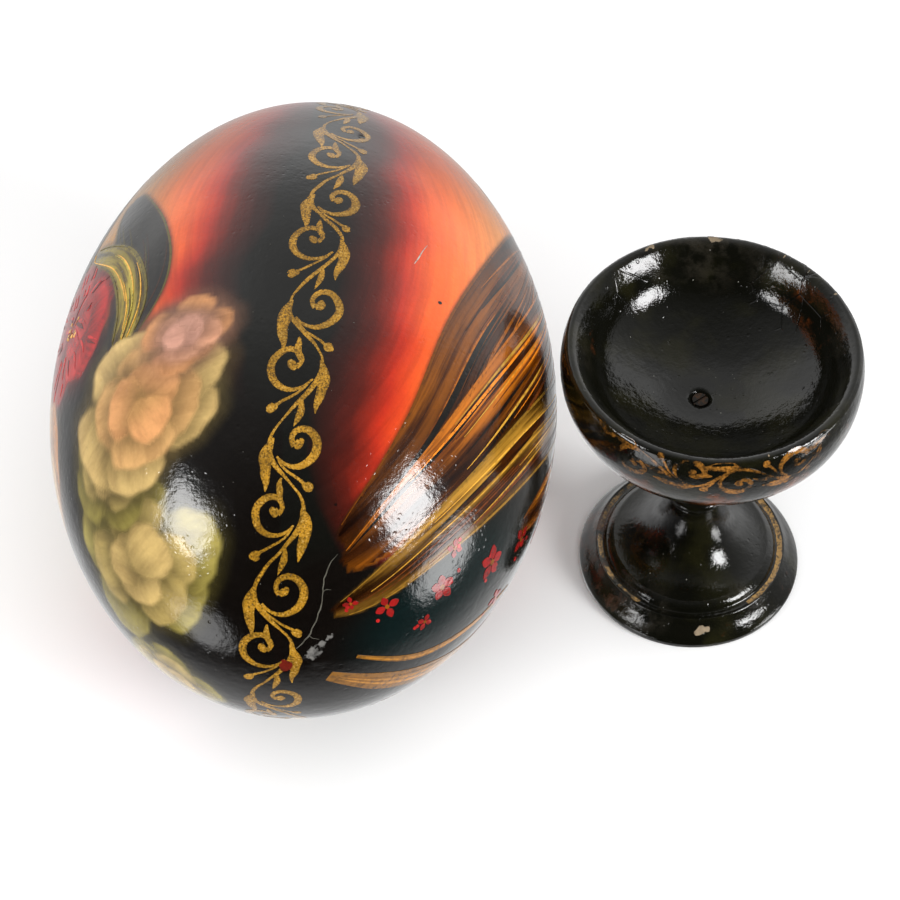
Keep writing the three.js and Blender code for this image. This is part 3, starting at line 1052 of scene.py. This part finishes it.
def make_shell(egg):
    """The shell with its painted colours, its streaks and its bare filler."""
    ball, quads = unit_ball(SHELL_CELLS)
    points, _ = egg_surface(ball)
    chart = ball_to_panel(ball)
    paint, flow, streaks, _ = paint_egg(ball, chart, egg)
    bare = np.zeros(len(ball))
    for along, across, radius in FILLER:
        spot, _ = band_surface(along, across)
        bare = np.maximum(bare, 1 - np.linalg.norm(points - spot, axis=-1) / (2 * radius))
    shell = make_piece("painted_shell", points, quads.tolist(), painted_lacquer(), chart=chart,
                       values={"paint": paint, "flow": flow, "streaks": streaks, "bare": bare})
    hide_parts("egg")


def make_brushwork(egg):
    """The fine strokes of both sides. They don't depend on how fine the ball is."""
    ball, _ = unit_ball(STROKE_CELLS)
    chart = ball_to_panel(ball)
    sides = paint_egg(ball, chart, egg)[3]
    material = brush_ink()
    for name, art, side in zip(("left_brushwork", "right_brushwork"), sides, (-1, 1)):
        points, faces, chart, ink = stroke_mesh(art.visible(), panel_surface(side),
                                                BRUSHWORK_LIFT)
        piece = make_piece(name, points, faces, material, chart=chart, values={"ink": ink},
                           sharp_above=STROKE_CORNER)


# ---- old marks: crack, dab, pits, scratches and dust, by the band chart ----

# a crack that runs from the blow hole: along, across, half-width
CRACK = [(10.7, 3.6, .12), (12.2, 5.0, .2), (14, 6.4, .26), (16.4, 7.4, .2), (18.7, 8.2, .2),
         (21, 9.0, .26), (23.6, 9.3, .16), (26.8, 9.7, .2), (30, 10.4, .2), (31.6, 11.4, .12),
         (33, 12.6, .06)]
CRACK_BRANCHES = [[(14, 6.4, .14), (13.2, 7.5, .10), (12.9, 8.6, .05)],
                  [(24.6, 9.4, .10), (25.2, 10.2, .08), (25.0, 11.2, .04)]]
RED_DABS = [[(3.8, 0.2, .3), (4.4, 0.7, 1.0), (5.3, 1.0, 1.4), (6.3, 1.5, 1.0), (6.9, 1.7, .3)],
            [(4.2, 2.0, .2), (4.9, 1.7, .9), (5.8, 1.6, 1.1), (6.7, 0.9, .7), (7.2, 0.3, .2)]]
SCRATCH = [(106.0, 27.6, .05), (108.4, 28.6, .16), (111.0, 29.4, .1), (114.0, 30.6, .05)]
PITS = [(153.2, 12.6, 1.0), (96.0, 34.5, .5), (61.0, -12.0, .35), (44.0, 12.0, .3)]
DUST = 36


def make_marks():
    """Crack, red dab, pits and dust on the egg's upper side, as strokes of their own inks."""
    draws = np.random.default_rng(SEEDS["marks"])
    chalk = np.array(tone(168, 166, 156)[:3])
    strokes = [(np.array(dab), np.array(tone(98, 24, 14)[:3])) for dab in RED_DABS]
    for line in (CRACK, *CRACK_BRANCHES):
        knots = spline(line, 3 * len(line))
        knots[1:-1, :2] += draws.normal(0, 0.12, (len(knots) - 2, 2))
        knots[:, 2] *= 0.6
        strokes.append((knots, chalk * (1.0, 0.97, 0.9) * draws.uniform(0.16, 0.28)))
    strokes.append((np.array(SCRATCH), chalk))
    spots = [(along, across, radius, np.array(tone(9, 7, 6)[:3])) for along, across, radius in PITS]
    for _ in range(DUST):
        along = draws.uniform(8, 120)
        across = draws.normal(4, 11)
        spots.append((along, across, draws.uniform(0.05, 0.11), chalk * draws.uniform(0.12, 0.42)))
    for along, across, radius, ink in spots:
        half = radius * np.sqrt(np.maximum(1 - DAB_REACH ** 2, 0.015))
        knots = np.column_stack([along + radius * DAB_REACH, np.full(len(half), across), half])
        strokes.append((knots, ink))
    points, faces, chart, ink = stroke_mesh(strokes, band_surface, MARKS_LIFT)
    marks_piece = make_piece("shell_marks", points, faces, brush_ink(), chart=chart,
                             values={"ink": ink}, sharp_above=STROKE_CORNER)


# =====================================================================================
# Gold scroll
# =====================================================================================

# Half of a period, from one crest: (along, towards the crest's side, half-width), in millimetres
# of a scroll of this height and period; the next half is the same, turned over.
TEMPLATE_HEIGHT = 4.6
TEMPLATE_PERIOD = 32.3
SCROLL_SPIRAL = [(-3.2, 3.2, .30), (-5, 1.4, .42), (-6, -1.2, .60), (-5.6, -3.8, .85),
                 (-3.8, -6.1, 1.05), (-1.2, -7.2, 1.1), (1.6, -6.8, 1.05), (3.9, -4.8, .95),
                 (4.4, -2.4, .85), (3.2, -.6, .72), (1.3, -.1, .66), (-.4, -1.1, .75)]
SCROLL_HEAD = [(-.75, -1.3, .35), (-.3, -1.8, .95), (.4, -2.3, 1.15), (1.1, -2.6, .9),
               (1.7, -2.7, .3)]
SCROLL_LEAF = [(1.5, 4.0, .25), (0.2, 4.5, .75), (-1.4, 5.0, 1.35), (-3.2, 5.3, 1.7),
               (-5.2, 5.2, 1.35), (-7.1, 4.9, 1.2), (-8.9, 4.5, .75), (-10.8, 4.4, .12)]
SCROLL_TENDRIL = [(-3.2, 2.5, .30), (-4.8, 1.4, .30), (-6.1, 0, .33), (-7.2, -1.6, .36),
                  (-8.2, -3.2, .40), (-8.9, -4.2, .42)]
SCROLL_DOT = [(-8.75, -4.1, .3), (-9.1, -4.5, .95), (-9.6, -5.1, 1.25), (-10.1, -5.7, .95),
              (-10.4, -6.1, .25)]
SCROLL_LEAFLET = [(-7.6, 1.3, .22), (-8.8, 1.3, .65), (-10.2, 1.2, .9), (-11.8, .8, .7),
                  (-13.6, .2, .1)]


def scroll_strokes(loop, periods, start, middle, height, draws, thick=1.0, steps=26):
    """All strokes of a running scroll, in (along, across) of a closed loop.

    Crests and troughs take turns along the loop. The stem is a smooth wave through them, and
    each crest or trough carries a leaf, a spiral with a round head, a tendril with a dot and a
    leaflet. The template is stretched to fit.
    """
    period = loop / periods
    size = height / TEMPLATE_HEIGHT
    stretch = period / TEMPLATE_PERIOD
    strokes = []
    for k in range(2 * periods):
        side = 1 if k % 2 else -1
        place = start + period * (k // 2 + (SCROLL_FALL if k % 2 else 0))
        gap = period * (1 - SCROLL_FALL if k % 2 else SCROLL_FALL)
        grow = draws.uniform(0.93, 1.06)
        shift = draws.uniform(-0.4, 0.4)

        def put(template, shrink=1.0):
            knots = np.array(template, float) * [shrink, shrink, 1]
            jitter = draws.normal(0, 0.07, (len(knots), 2))
            along = place + (knots[:, 0] * grow + shift + jitter[:, 0]) * stretch
            across = side * (knots[:, 1] * grow + jitter[:, 1]) * size
            width = knots[:, 2] * size * thick * draws.uniform(0.76, 0.92)
            strokes.append(spline(np.stack([along, middle(along) + across, width], -1), steps))

        rise = np.linspace(0, 1, 9)
        wave = np.cos(rise * np.pi)
        stem = np.stack([rise * gap / stretch - shift, height / size * wave,
                         0.42 + 0.30 * ease(rise, 0.25, 0.95) + 0.12 * np.sin(rise * 9 + k)], -1)
        put(stem / [grow, grow, 1.0])
        curl = draws.uniform(0.80, 0.90)
        put(SCROLL_SPIRAL, curl)
        put(SCROLL_HEAD, curl)
        for template in (SCROLL_LEAF, SCROLL_TENDRIL, SCROLL_DOT, SCROLL_LEAFLET):
            put(template)
    return strokes


def bronze_paint(egg):
    """Bronze powder in varnish: bright grains among dark gaps, a little metallic, thinner at the
    edges of the strokes and in worn patches."""
    shader = material_shader("bronze_paint")
    place = shader.place()
    grain = shader.noise(place, 2300.0, 2.0, 0.7)
    patch = shader.noise(place, 240.0, 2.0)
    worn = shader.noise(place, 90.0, 3.0)
    gold = np.array(egg.gold)
    light = shader.mix(patch.step(0.38, 0.68), gold * 0.6, gold)
    thin = shader.attribute("edge").step(0.45, 1.0) * 0.08 + worn.step(0.46, 0.70) * 0.08
    cover = grain - thin
    colour = shader.mix(cover.step(0.34, 0.50), (0.085, 0.045, 0.008), light)
    sparkle = cover.step(0.55, 0.66)
    colour = shader.mix(sparkle * 0.34, colour, (0.82, 0.57, 0.18))
    return shader.finish(Base_Color=colour, Metallic=0.35 * sparkle, IOR=VARNISH_IOR,
                         Roughness=VARNISH_ROUGHNESS + 0.2 * sparkle,
                         Normal=gloss(shader, place, GLOSS_DEPTH))


def make_scroll(egg):
    draws = np.random.default_rng(SEEDS["scroll"])
    knots = np.array(SCROLL_WANDER, float)
    knots = np.vstack([knots[-2:] - [LOOP, 0], knots, knots[:3] + [LOOP, 0]])
    fine = spline(knots, 400)

    def middle(along):
        return np.interp(np.mod(along, LOOP), fine[:, 0], fine[:, 1])

    strokes = scroll_strokes(LOOP, SCROLL_PERIODS, SCROLL_START, middle,
                             egg.scroll_height / MM, draws)
    points, faces, chart, edge = brush_strokes(strokes, band_surface, egg.paint_height / MM)
    scroll = make_piece("gold_scroll", points, faces, bronze_paint(egg), chart=chart,
                        values={"edge": edge}, sharp_above=STROKE_CORNER)


# =====================================================================================
# The stand
# =====================================================================================

def superellipse_side(steps):
    """Outer side of the cup, from the widest circle down towards the neck."""
    angle = np.linspace(0, np.pi / 2, steps)
    radius = CUP_RADIUS * np.cos(angle) ** (2 / CUP_SHELL_FULLNESS)
    z = CUP_WIDEST_Z - CUP_SHELL_DEPTH * np.sin(angle) ** (2 / CUP_SHELL_FULLNESS)
    keep = radius > NECK_RADIUS + 3
    return np.stack([radius, z], -1)[keep]


def cup_outside():
    """Outer profile of the cup, from the lip's crest down its side."""
    lip = arc((LIP_RADIUS, LIP_Z - LIP_ROUND[1]), LIP_ROUND, 90, 12, 10)
    side = superellipse_side(60)
    shoulder = spline([lip[-2], lip[-1], (CUP_RADIUS - 0.2, 81.6), side[0], side[3]], 24)
    return np.vstack([lip, shoulder[2:-6], side[side[:, 1] < shoulder[-6, 1] - 0.3]])


def cup_profile():
    underside = CUP_WIDEST_Z - CUP_SHELL_DEPTH
    bottom = JOINT_Z + 0.3
    neck = np.vstack([[(0, bottom), (NECK_RADIUS - 0.4, bottom)],
                      arc((NECK_RADIUS - 0.1, bottom + 1.5), (0.8, 1.3), -80, 80, 9),
                      spline([(NECK_RADIUS - 0.6, bottom + 3.4), (NECK_RADIUS - 0.3, bottom + 10),
                              (NECK_RADIUS, underside - 5), (NECK_RADIUS + 1.1, underside - 1.6),
                              (NECK_RADIUS + 3.4, underside + 0.05)], 30)])
    return np.vstack([neck, cup_outside()[::-1], spline(CUP_HOLLOW, 70)[1:]])


def waver(points, amount, seed):
    """Pushes turned points in and out by a few slow waves round and along the axis."""
    draws = np.random.default_rng(seed)
    x, y, z = points.T
    turn, radius = np.arctan2(y, x), np.hypot(x, y)
    push = np.zeros(len(points))
    for k in (2, 3, 5, 7, 11):
        push += np.sin(k * turn + draws.uniform(0, 6.3) + z * draws.uniform(-.25, .25)) / k
    push *= amount * ease(radius, 1, 6)
    scale = 1 + push / np.maximum(radius, 1e-3)
    return np.stack([x * scale, y * scale, z], -1)


def black_lacquer(stand):
    """Old black lacquer on turned wood: olive and brown where thin, dull where rubbed, bare wood
    in the chips, specks of dust and a network of fine cracks."""
    shader = material_shader("black_lacquer")
    place = shader.place()
    cloud = shader.noise(place, 130.0, 4.0, 0.6)
    fleck = shader.noise(place, 380.0, 4.0, 0.65)
    thin = shader.attribute("thin") + (cloud - 0.5) * 1.2 + (fleck - 0.5) * 1.2
    chip = shader.attribute("chip") + (shader.noise(place, 420.0, 4.0) - 0.5) * 0.7
    gold = shader.attribute("gold") + (shader.noise(place, 300.0, 4.0) - 0.5) * 1.1
    lacquer = np.array(stand.lacquer)
    colour = shader.mix(shader.noise(place, 75.0, 4.0).step(0.46, 0.66), lacquer * 0.7,
                        lacquer * (2.0, 1.9, 1.1))
    colour = shader.mix(thin.step(0.55, 1.05) * 0.8, colour, stand.brown)
    colour = shader.mix(thin.step(1.05, 1.35) * 0.55, colour, (0.32, 0.10, 0.02))
    worn_gold = shader.mix(shader.noise(place, 1500.0, 2.0).step(0.35, 0.6), (0.09, 0.06, 0.03),
                           stand.ring)
    colour = shader.mix(gold.step(0.42, 0.62) * 0.9, colour, worn_gold)
    grain = shader.noise(place, 900.0, 3.0)
    wood = shader.mix(grain, np.array(stand.wood) * 0.3, stand.wood)
    bare = chip.step(0.48, 0.56)
    colour = shader.mix(bare, colour, wood)
    specks = 1 - shader.cells(place, 330.0).step(0.02, 0.07)
    dust = specks * shader.noise(place, 55.0, 1.0).step(0.50, 0.62)
    colour = shader.mix(dust * 0.5, colour, (0.40, 0.39, 0.34))
    dull = shader.attribute("dull") * (cloud * 0.6 + fleck * 0.4).step(0.44, 0.60)
    colour = shader.mix(dull * 0.5, colour, (0.040, 0.034, 0.024))
    edges = shader.cells(place, 125.0, "DISTANCE_TO_EDGE")
    crack = (1 - edges.step(0.004, 0.026)) * shader.attribute("crazed").step(0.1, 0.7)
    colour = shader.mix(crack, colour, (0.004, 0.004, 0.003))
    rough = STAND_ROUGHNESS + 0.5 * bare + 0.2 * dull
    return shader.finish(Base_Color=colour, Roughness=rough, IOR=VARNISH_IOR,
                         Normal=gloss(shader, place, STAND_GLOSS_DEPTH, crack * 0.6))


def marks(points, spots):
    """The strongest of several soft round marks at each point: (x, y, z, radius, strength),
    from the stand's axis in millimetres."""
    strength = np.zeros(len(points))
    for x, y, z, radius, amount in spots:
        away = np.linalg.norm(points - [x, y, z], axis=-1)
        strength = np.maximum(strength, amount * (1 - ease(away, 0.5 * radius, 1.5 * radius)))
    return strength


def on_stand(points):
    return points + [STAND_X, STAND_Y, 0]


# worn places of the stand by what has happened there: x, y, z from its axis, radius, strength
CUP_WEAR = {
    "thin": [(31, 8, 76, 6, .75), (27, 15, 74, 7, .85), (30, 14, 80, 4, .7), (-33, -8, 72, 9, .75),
             (-34, 6, 76, 8, .7), (-29, -18, 76, 6, .7), (30, -18, 76, 7, .6),
             (-25, 14, 73, 6, .35), (25, 19, 80, 5, .7), (33, -6, 68, 8, .5), (0, -32, 68, 9, .84),
             (-17, -28, 68, 9, .86), (17, -28, 68, 9, .86)],
    "crazed": [(20, 24, 78, 9, 1.0), (26, 18, 78, 7, .8), (-20, 24, 78, 6, .5)],
    "dull": [(0, 33, 82, 9, .6), (-12, 30, 82, 7, .4), (15, 29, 82, 6, .4), (-33, 0, 84, 7, .3),
             (32, 4, 84, 7, .3)],
    "chip": [(1.5, 33.3, 85.3, 1.5, .60), (3.2, 33.0, 85.4, 1.3, .58), (-13, 30.6, 85.4, .9, .66),
             (-14.6, 29.4, 85.5, .7, .66), (18.4, 27.4, 85.4, .7, .64),
             (23.6, 23.0, 85.4, .6, .62), (29.4, 15.6, 85.4, .8, .64),
             (10.6, -31.6, 85.4, .6, .7)],
}
FOOT_WEAR = {
    "thin": [(-26, -8, 3, 8, .6), (-24, 6, 4, 9, .8), (-22, 12, 4, 6, .7), (24, -11, 4, 4, .5),
             (-20, -16, 4, 5, .6), (8, -25, 5, 3, .5)],
    "dull": [(-24, 10, 4, 9, 1.2), (-26, -2, 4, 8, 1.1), (-19, 17, 6, 7, 1.0),
             (-21, -14, 5, 7, .9), (26, 6, 3, 7, .4), (12, -18, 6, 5, .5), (-12, -20, 6, 6, .6)],
    "chip": [(1.6, -25.4, 4.9, 1.3, .72), (3.2, -25.2, 5.0, .9, .7), (.7, -25.9, 4.4, 1.0, .68)],
}
RING_GAP = np.radians(31)  # half of the stretch at the front where the gold ring is worn away


def make_cup(stand):
    profile = fill_profile(cup_profile(), PROFILE_SPACING)
    points, faces, radius, _, along = turned(profile, CUP_TURNS)
    recess = np.hypot(points[:, 0] - (SCREW_X - STAND_X), points[:, 1] - (SCREW_Y - STAND_Y))
    inside = (points[:, 2] > HOLLOW_FLOOR_Z - 3) & (radius < 12) & (along > along.max() - 14)
    sunk = 1 - ease(recess, RECESS_RADIUS - 0.9, RECESS_RADIUS + 0.4)
    points[:, 2] -= np.where(inside, RECESS_DEPTH * sunk, 0)
    points = waver(points, stand.waver / MM, SEEDS["cup"])
    values = {name: marks(points, spots) for name, spots in CUP_WEAR.items()}
    piece = make_piece("cup", on_stand(points), faces, black_lacquer(stand), values=values)
    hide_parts("stand_cup")


def foot_profile():
    """Profile of the foot from the middle of its underside up to the top of its stem."""
    ground = [(0, 0), (FOOT_RADIUS - FOOT_ROUND, 0)]
    edge = arc((FOOT_RADIUS - FOOT_ROUND, FOOT_ROUND), (FOOT_ROUND, FOOT_ROUND), -90, 0, 6)
    shoulder = spline([(FOOT_RADIUS, 0.7), (FOOT_RADIUS, 1.9), (FOOT_RADIUS - 1.2, 3.7),
                       (FOOT_RADIUS - 2.6, 5.3), (23.8, 7.3)], 24)
    groove = spline([(23.8, 7.3), (23.1, 7.0), (22.4, 6.9), (21.8, 7.05), (STEP_RADIUS, 7.5)], 10)
    step = spline([(STEP_RADIUS, 7.5), (21.1, 8.1), (20.5, 8.65), (19.8, 9.1)], 12)[1:-1]
    rim = STEP_RADIUS + 0.4
    flare = arc((rim, JOINT_Z - 2), (rim - STEM_RADIUS, JOINT_Z - 11), 262, 180, 50)
    top = [(STEM_RADIUS, JOINT_Z - 0.1), (STEM_RADIUS - 0.1, JOINT_Z), (0, JOINT_Z)]
    return np.vstack([ground, edge, shoulder, groove, step, flare, top])


def make_foot(stand):
    profile = fill_profile(foot_profile(), PROFILE_SPACING)
    points, faces, radius, *_ = turned(profile, FOOT_TURNS)
    points = waver(points, stand.waver / MM, SEEDS["foot"])
    low, high = GOLD_RING_RADII
    ring = ease(radius, low - .3, low + .2) * (1 - ease(radius, high - .2, high + .3))
    ring = ring * (points[:, 2] > 5) * (points[:, 2] < 9)
    bearing = np.arctan2(points[:, 0], -points[:, 1])
    left_there = ease(np.abs(bearing), RING_GAP, 1.25 * RING_GAP)
    fading = 0.56 + 0.26 * ease(np.sin(bearing), -0.7, 0.7)
    values = {name: marks(points, spots) for name, spots in FOOT_WEAR.items()}
    values["gold"] = ring * left_there * fading
    piece = make_piece("foot", on_stand(points), faces, black_lacquer(stand), values=values)
    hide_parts("stand_foot")


def cup_surface(turn_length, down):
    """The cup's outer side: millimetres round it at its widest, from the front towards the
    right, and millimetres down from the lip's crest."""
    outline = cup_outside()
    length = np.concatenate([[0], np.cumsum(np.hypot(*np.diff(outline, axis=0).T))])

    def read(at):
        """Radius and height of the outline, each with an axis of one added at its end."""
        return [np.interp(at, length, column)[..., None] for column in outline.T]

    down = np.maximum(down, 0.5)
    radius, z = read(down)
    (radius_above, z_above), (radius_below, z_below) = read(down - 0.3), read(down + 0.3)
    turn = turn_length / CUP_RADIUS
    outward = np.stack([np.sin(turn), -np.cos(turn)], -1)
    spot = np.concatenate([outward * radius, z], -1)
    normal = np.concatenate([outward * (z_above - z_below), radius_below - radius_above], -1)
    normal /= np.linalg.norm(normal, axis=-1, keepdims=True)
    return on_stand(spot), normal


def worn_gold(stand):
    """The frieze's gold: thin bronze paint, rubbed through to the lacquer in places and nearly
    gone at the sides and back."""
    shader = material_shader("worn_gold")
    place = shader.place()
    rub = shader.noise(place, 230.0, 5.0, 0.7) + shader.attribute("rubbed") * 0.16
    rub = rub + shader.attribute("edge").step(0.3, 1.0) * 0.05
    grain = shader.noise(place, 2000.0, 2.0)
    gold = shader.mix(grain.step(0.35, 0.62), np.array(stand.gold) * 0.35, stand.gold)
    colour = shader.mix(rub.step(0.39, 0.63), gold, stand.lacquer)
    return shader.finish(Base_Color=colour, Roughness=STAND_ROUGHNESS, IOR=VARNISH_IOR,
                         Normal=gloss(shader, place, STAND_GLOSS_DEPTH))


FRIEZE_PERIODS = 9
FRIEZE_START = 4.0
FRIEZE_DOWN = 5.4
FRIEZE_HEIGHT = 3.2


def make_frieze(stand):
    draws = np.random.default_rng(SEEDS["frieze"])
    loop = 2 * np.pi * CUP_RADIUS

    def middle(along):
        return FRIEZE_DOWN + 0.4 * np.sin(4 * along / CUP_RADIUS)

    strokes = scroll_strokes(loop, FRIEZE_PERIODS, FRIEZE_START, middle, FRIEZE_HEIGHT, draws,
                             thick=1.35)
    points, faces, chart, edge = brush_strokes(strokes, cup_surface, FRIEZE_LIFT)
    turn = np.abs((chart[:, 0] / CUP_RADIUS + np.pi) % (2 * np.pi) - np.pi)
    values = {"edge": edge, "rubbed": ease(turn, 0.55, 0.95)}
    piece = make_piece("cup_frieze", points, faces, worn_gold(stand), chart=chart, values=values,
                       sharp_above=STROKE_CORNER)


def make_screw():
    shader = material_shader("dark_steel")
    place = shader.place()
    rust = shader.noise(place, 900.0, 4.0)
    colour = shader.mix(rust.step(0.4, 0.7), (0.03, 0.028, 0.025), (0.09, 0.05, 0.03))
    steel = shader.finish(Base_Color=colour, Metallic=0.8, Roughness=0.38 + 0.2 * rust,
                          Normal=shader.bump(rust, 0.0001))
    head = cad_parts["cup_screw"]
    head.data.materials.clear()
    head.data.materials.append(steel)


# =====================================================================================
# Studio
# =====================================================================================

def direction(azimuth, elevation):
    """The way to a place in the sky: degrees from +Y towards +X, and degrees up."""
    azimuth, elevation = np.radians(azimuth), np.radians(elevation)
    return np.array([np.sin(azimuth) * np.cos(elevation), np.cos(azimuth) * np.cos(elevation),
                     np.sin(elevation)])


def look_matrix(place, aim):
    """Right, up and back axes of something at place that looks at aim, as a rotation."""
    back = np.asarray(place, float) - np.asarray(aim, float)
    back /= np.linalg.norm(back)
    right = np.cross([0, 0, 1], back)
    right /= np.linalg.norm(right)
    up = np.cross(back, right)
    matrix = Matrix.Identity(4)
    for row in range(3):
        matrix[row][0], matrix[row][1], matrix[row][2] = right[row], up[row], back[row]
        matrix[row][3] = place[row]
    return matrix


def add_area_light(name, place, aim, size, power):
    light = bpy.data.lights.new(name, "AREA")
    light.shape = "SQUARE"
    light.size = size
    light.energy = power
    lamp = bpy.data.objects.new(name, light)
    bpy.context.scene.collection.objects.link(lamp)
    lamp.matrix_world = look_matrix(place, aim)
    return lamp


def add_softbox(name, place_in_sky, power, studio):
    place = LIGHT_AIM + studio.softbox_distance * direction(*place_in_sky)
    add_area_light(name, place, LIGHT_AIM, studio.softbox_size, power)


def add_fill(studio):
    """A broad, even light from above the camera, which leaves no highlight of its own."""
    lamp = add_area_light("fill", FILL_PLACE, FILL_AIM, FILL_SIZE, studio.fill_power)
    lamp.visible_glossy = False


def add_world():
    """A white backdrop ahead of the camera and a dark room behind it, dimmer below the horizon,
    with the soft boxes' mirror images in the table."""
    world = bpy.data.worlds.new("studio_room")
    bpy.context.scene.world = world
    shader = Shader(world, "ShaderNodeBackground", "ShaderNodeOutputWorld")
    way = shader.wire(shader.node("ShaderNodeTexCoord"), "Generated")
    parts = shader.node("ShaderNodeSeparateXYZ", {}, {0: way})
    across, ahead, up = [shader.wire(parts, axis) for axis in "XYZ"]
    stops = [((1 + y) / 2, (level, level, level, 1)) for y, level in ROOM_LIGHT]
    room = shader.ramp(ahead * 0.5 + 0.5, stops) * ROOM_BRIGHTNESS
    walls = 0.5 * across.step(0.45, 0.62) + 0.3 * (0 - across).step(0.2, 0.55)
    gap = up.step(0.25, 0.45) * (1 - across.step(0.25, 0.5)) * (1 - (0 - across).step(0.1, 0.4))
    room = room * (1 + (walls - 0.16 * gap) * ahead.step(0.3, 0.5))
    below = 1 - up
    room = room * (1 - 0.30 * below.step(1.0, 1.15)) + 0.5 * below.step(1.62, 1.9)
    for azimuth, elevation, brightness in MIRRORED_BOXES:
        middle = shader.node("ShaderNodeVectorMath", {"operation": "DOT_PRODUCT"},
                             {0: way, 1: direction(azimuth, elevation)})
        room = room + brightness * shader.wire(middle, "Value").step(0.965, 0.992)
    shader.finish(Color=(1, 1, 1), Strength=room)


def add_floor(studio):
    shader = material_shader("pale_floor")
    place = shader.place()
    cloud = shader.noise(place, 3.0, 2.0)
    colour = shader.mix(cloud, studio.floor, np.array(studio.floor) * 0.97)
    material = shader.finish(Base_Color=colour, Roughness=0.5, Specular_IOR_Level=0.4)
    half = FLOOR_HALF
    corners = [(-half, -half, 0), (half, -half, 0), (half, half, 0), (-half, half, 0)]
    mesh = bpy.data.meshes.new("floor")
    mesh.from_pydata((np.array(corners) * MM).tolist(), [], [(0, 1, 2, 3)])
    mesh.materials.append(material)
    floor = bpy.data.objects.new("floor", mesh)
    bpy.context.scene.collection.objects.link(floor)
    floor.visible_glossy = False


def add_camera():
    data = bpy.data.cameras.new("camera")
    data.lens = CAMERA_LENS
    data.sensor_width = SENSOR_WIDTH
    data.clip_start = 0.01
    data.clip_end = 20.0
    data.dof.use_dof = False
    camera = bpy.data.objects.new("camera", data)
    camera.location = np.array(CAMERA_PLACE) * MM
    camera.rotation_euler = (np.pi / 2 - CAMERA_DIP, 0, 0)
    bpy.context.scene.collection.objects.link(camera)
    bpy.context.scene.camera = camera


# =====================================================================================
# Operators, panel and registration
# =====================================================================================

class EGG_OT_stage(bpy.types.Operator):
    """Lay the floor and set the soft boxes, the world and the camera"""
    bl_idname = "painted_egg.stage"
    bl_label = "Studio stage"

    def execute(self, context):
        studio = context.scene.egg_studio
        add_camera()
        add_floor(studio)
        add_world()
        add_fill(studio)
        add_softbox("softbox_left", SOFTBOX_LEFT, studio.left_power, studio)
        add_softbox("softbox_right", SOFTBOX_RIGHT, studio.right_power, studio)
        context.scene.view_settings.view_transform = "Standard"
        context.scene.view_settings.look = "None"
        return {"FINISHED"}


class EGG_OT_shell(bpy.types.Operator):
    """Make the egg's shell with its painted sides"""
    bl_idname = "painted_egg.shell"
    bl_label = "Painted shell"

    def execute(self, context):
        make_shell(context.scene.painted_egg)
        return {"FINISHED"}


class EGG_OT_brushwork(bpy.types.Operator):
    """Add the fine strokes of the painted sides: petals, leaves, grass and small flowers"""
    bl_idname = "painted_egg.brushwork"
    bl_label = "Fine brushwork"

    def execute(self, context):
        make_brushwork(context.scene.painted_egg)
        return {"FINISHED"}


class EGG_OT_scroll(bpy.types.Operator):
    """Brush the gold scroll round the egg's meridian"""
    bl_idname = "painted_egg.scroll"
    bl_label = "Gold scroll"

    def execute(self, context):
        make_scroll(context.scene.painted_egg)
        return {"FINISHED"}


class EGG_OT_marks(bpy.types.Operator):
    """Add the crack, the dab, the pits and the dust on the egg's upper side"""
    bl_idname = "painted_egg.marks"
    bl_label = "Old marks"

    def execute(self, context):
        make_marks()
        return {"FINISHED"}


class EGG_OT_cup(bpy.types.Operator):
    """Turn the stand's cup, brush its frieze and finish the screw in its floor"""
    bl_idname = "painted_egg.cup"
    bl_label = "Stand cup"

    def execute(self, context):
        make_cup(context.scene.egg_stand)
        make_frieze(context.scene.egg_stand)
        make_screw()
        return {"FINISHED"}


class EGG_OT_foot(bpy.types.Operator):
    """Turn the stand's foot"""
    bl_idname = "painted_egg.foot"
    bl_label = "Stand foot"

    def execute(self, context):
        make_foot(context.scene.egg_stand)
        return {"FINISHED"}


class EGG_PT_panel(bpy.types.Panel):
    bl_label = "Painted Egg"
    bl_idname = "EGG_PT_panel"
    bl_space_type = "VIEW_3D"
    bl_region_type = "UI"
    bl_category = "Painted Egg"

    def draw(self, context):
        for operator in OPERATORS:
            self.layout.operator(operator.bl_idname)
        for settings in (context.scene.painted_egg, context.scene.egg_stand,
                         context.scene.egg_studio):
            box = self.layout.box()
            for name in settings.__annotations__:
                box.prop(settings, name)


SETTINGS = {"painted_egg": EggSettings, "egg_stand": StandSettings, "egg_studio": StudioSettings}
OPERATORS = (EGG_OT_stage, EGG_OT_shell, EGG_OT_brushwork, EGG_OT_scroll, EGG_OT_marks, EGG_OT_cup,
             EGG_OT_foot)


def register():
    for group in (*SETTINGS.values(), *OPERATORS, EGG_PT_panel):
        bpy.utils.register_class(group)
    for name, group in SETTINGS.items():
        setattr(bpy.types.Scene, name, PointerProperty(type=group))


def unregister():
    for name in SETTINGS:
        delattr(bpy.types.Scene, name)
    for group in (EGG_PT_panel, *reversed(OPERATORS), *reversed(SETTINGS.values())):
        bpy.utils.unregister_class(group)


def main():
    register()
    bpy.ops.painted_egg.stage()
    bpy.ops.painted_egg.shell()
    bpy.ops.painted_egg.brushwork()
    bpy.ops.painted_egg.scroll()
    bpy.ops.painted_egg.marks()
    bpy.ops.painted_egg.cup()
    bpy.ops.painted_egg.foot()
    bpy.context.view_layer.update()


if __name__ == "__main__":
    main()
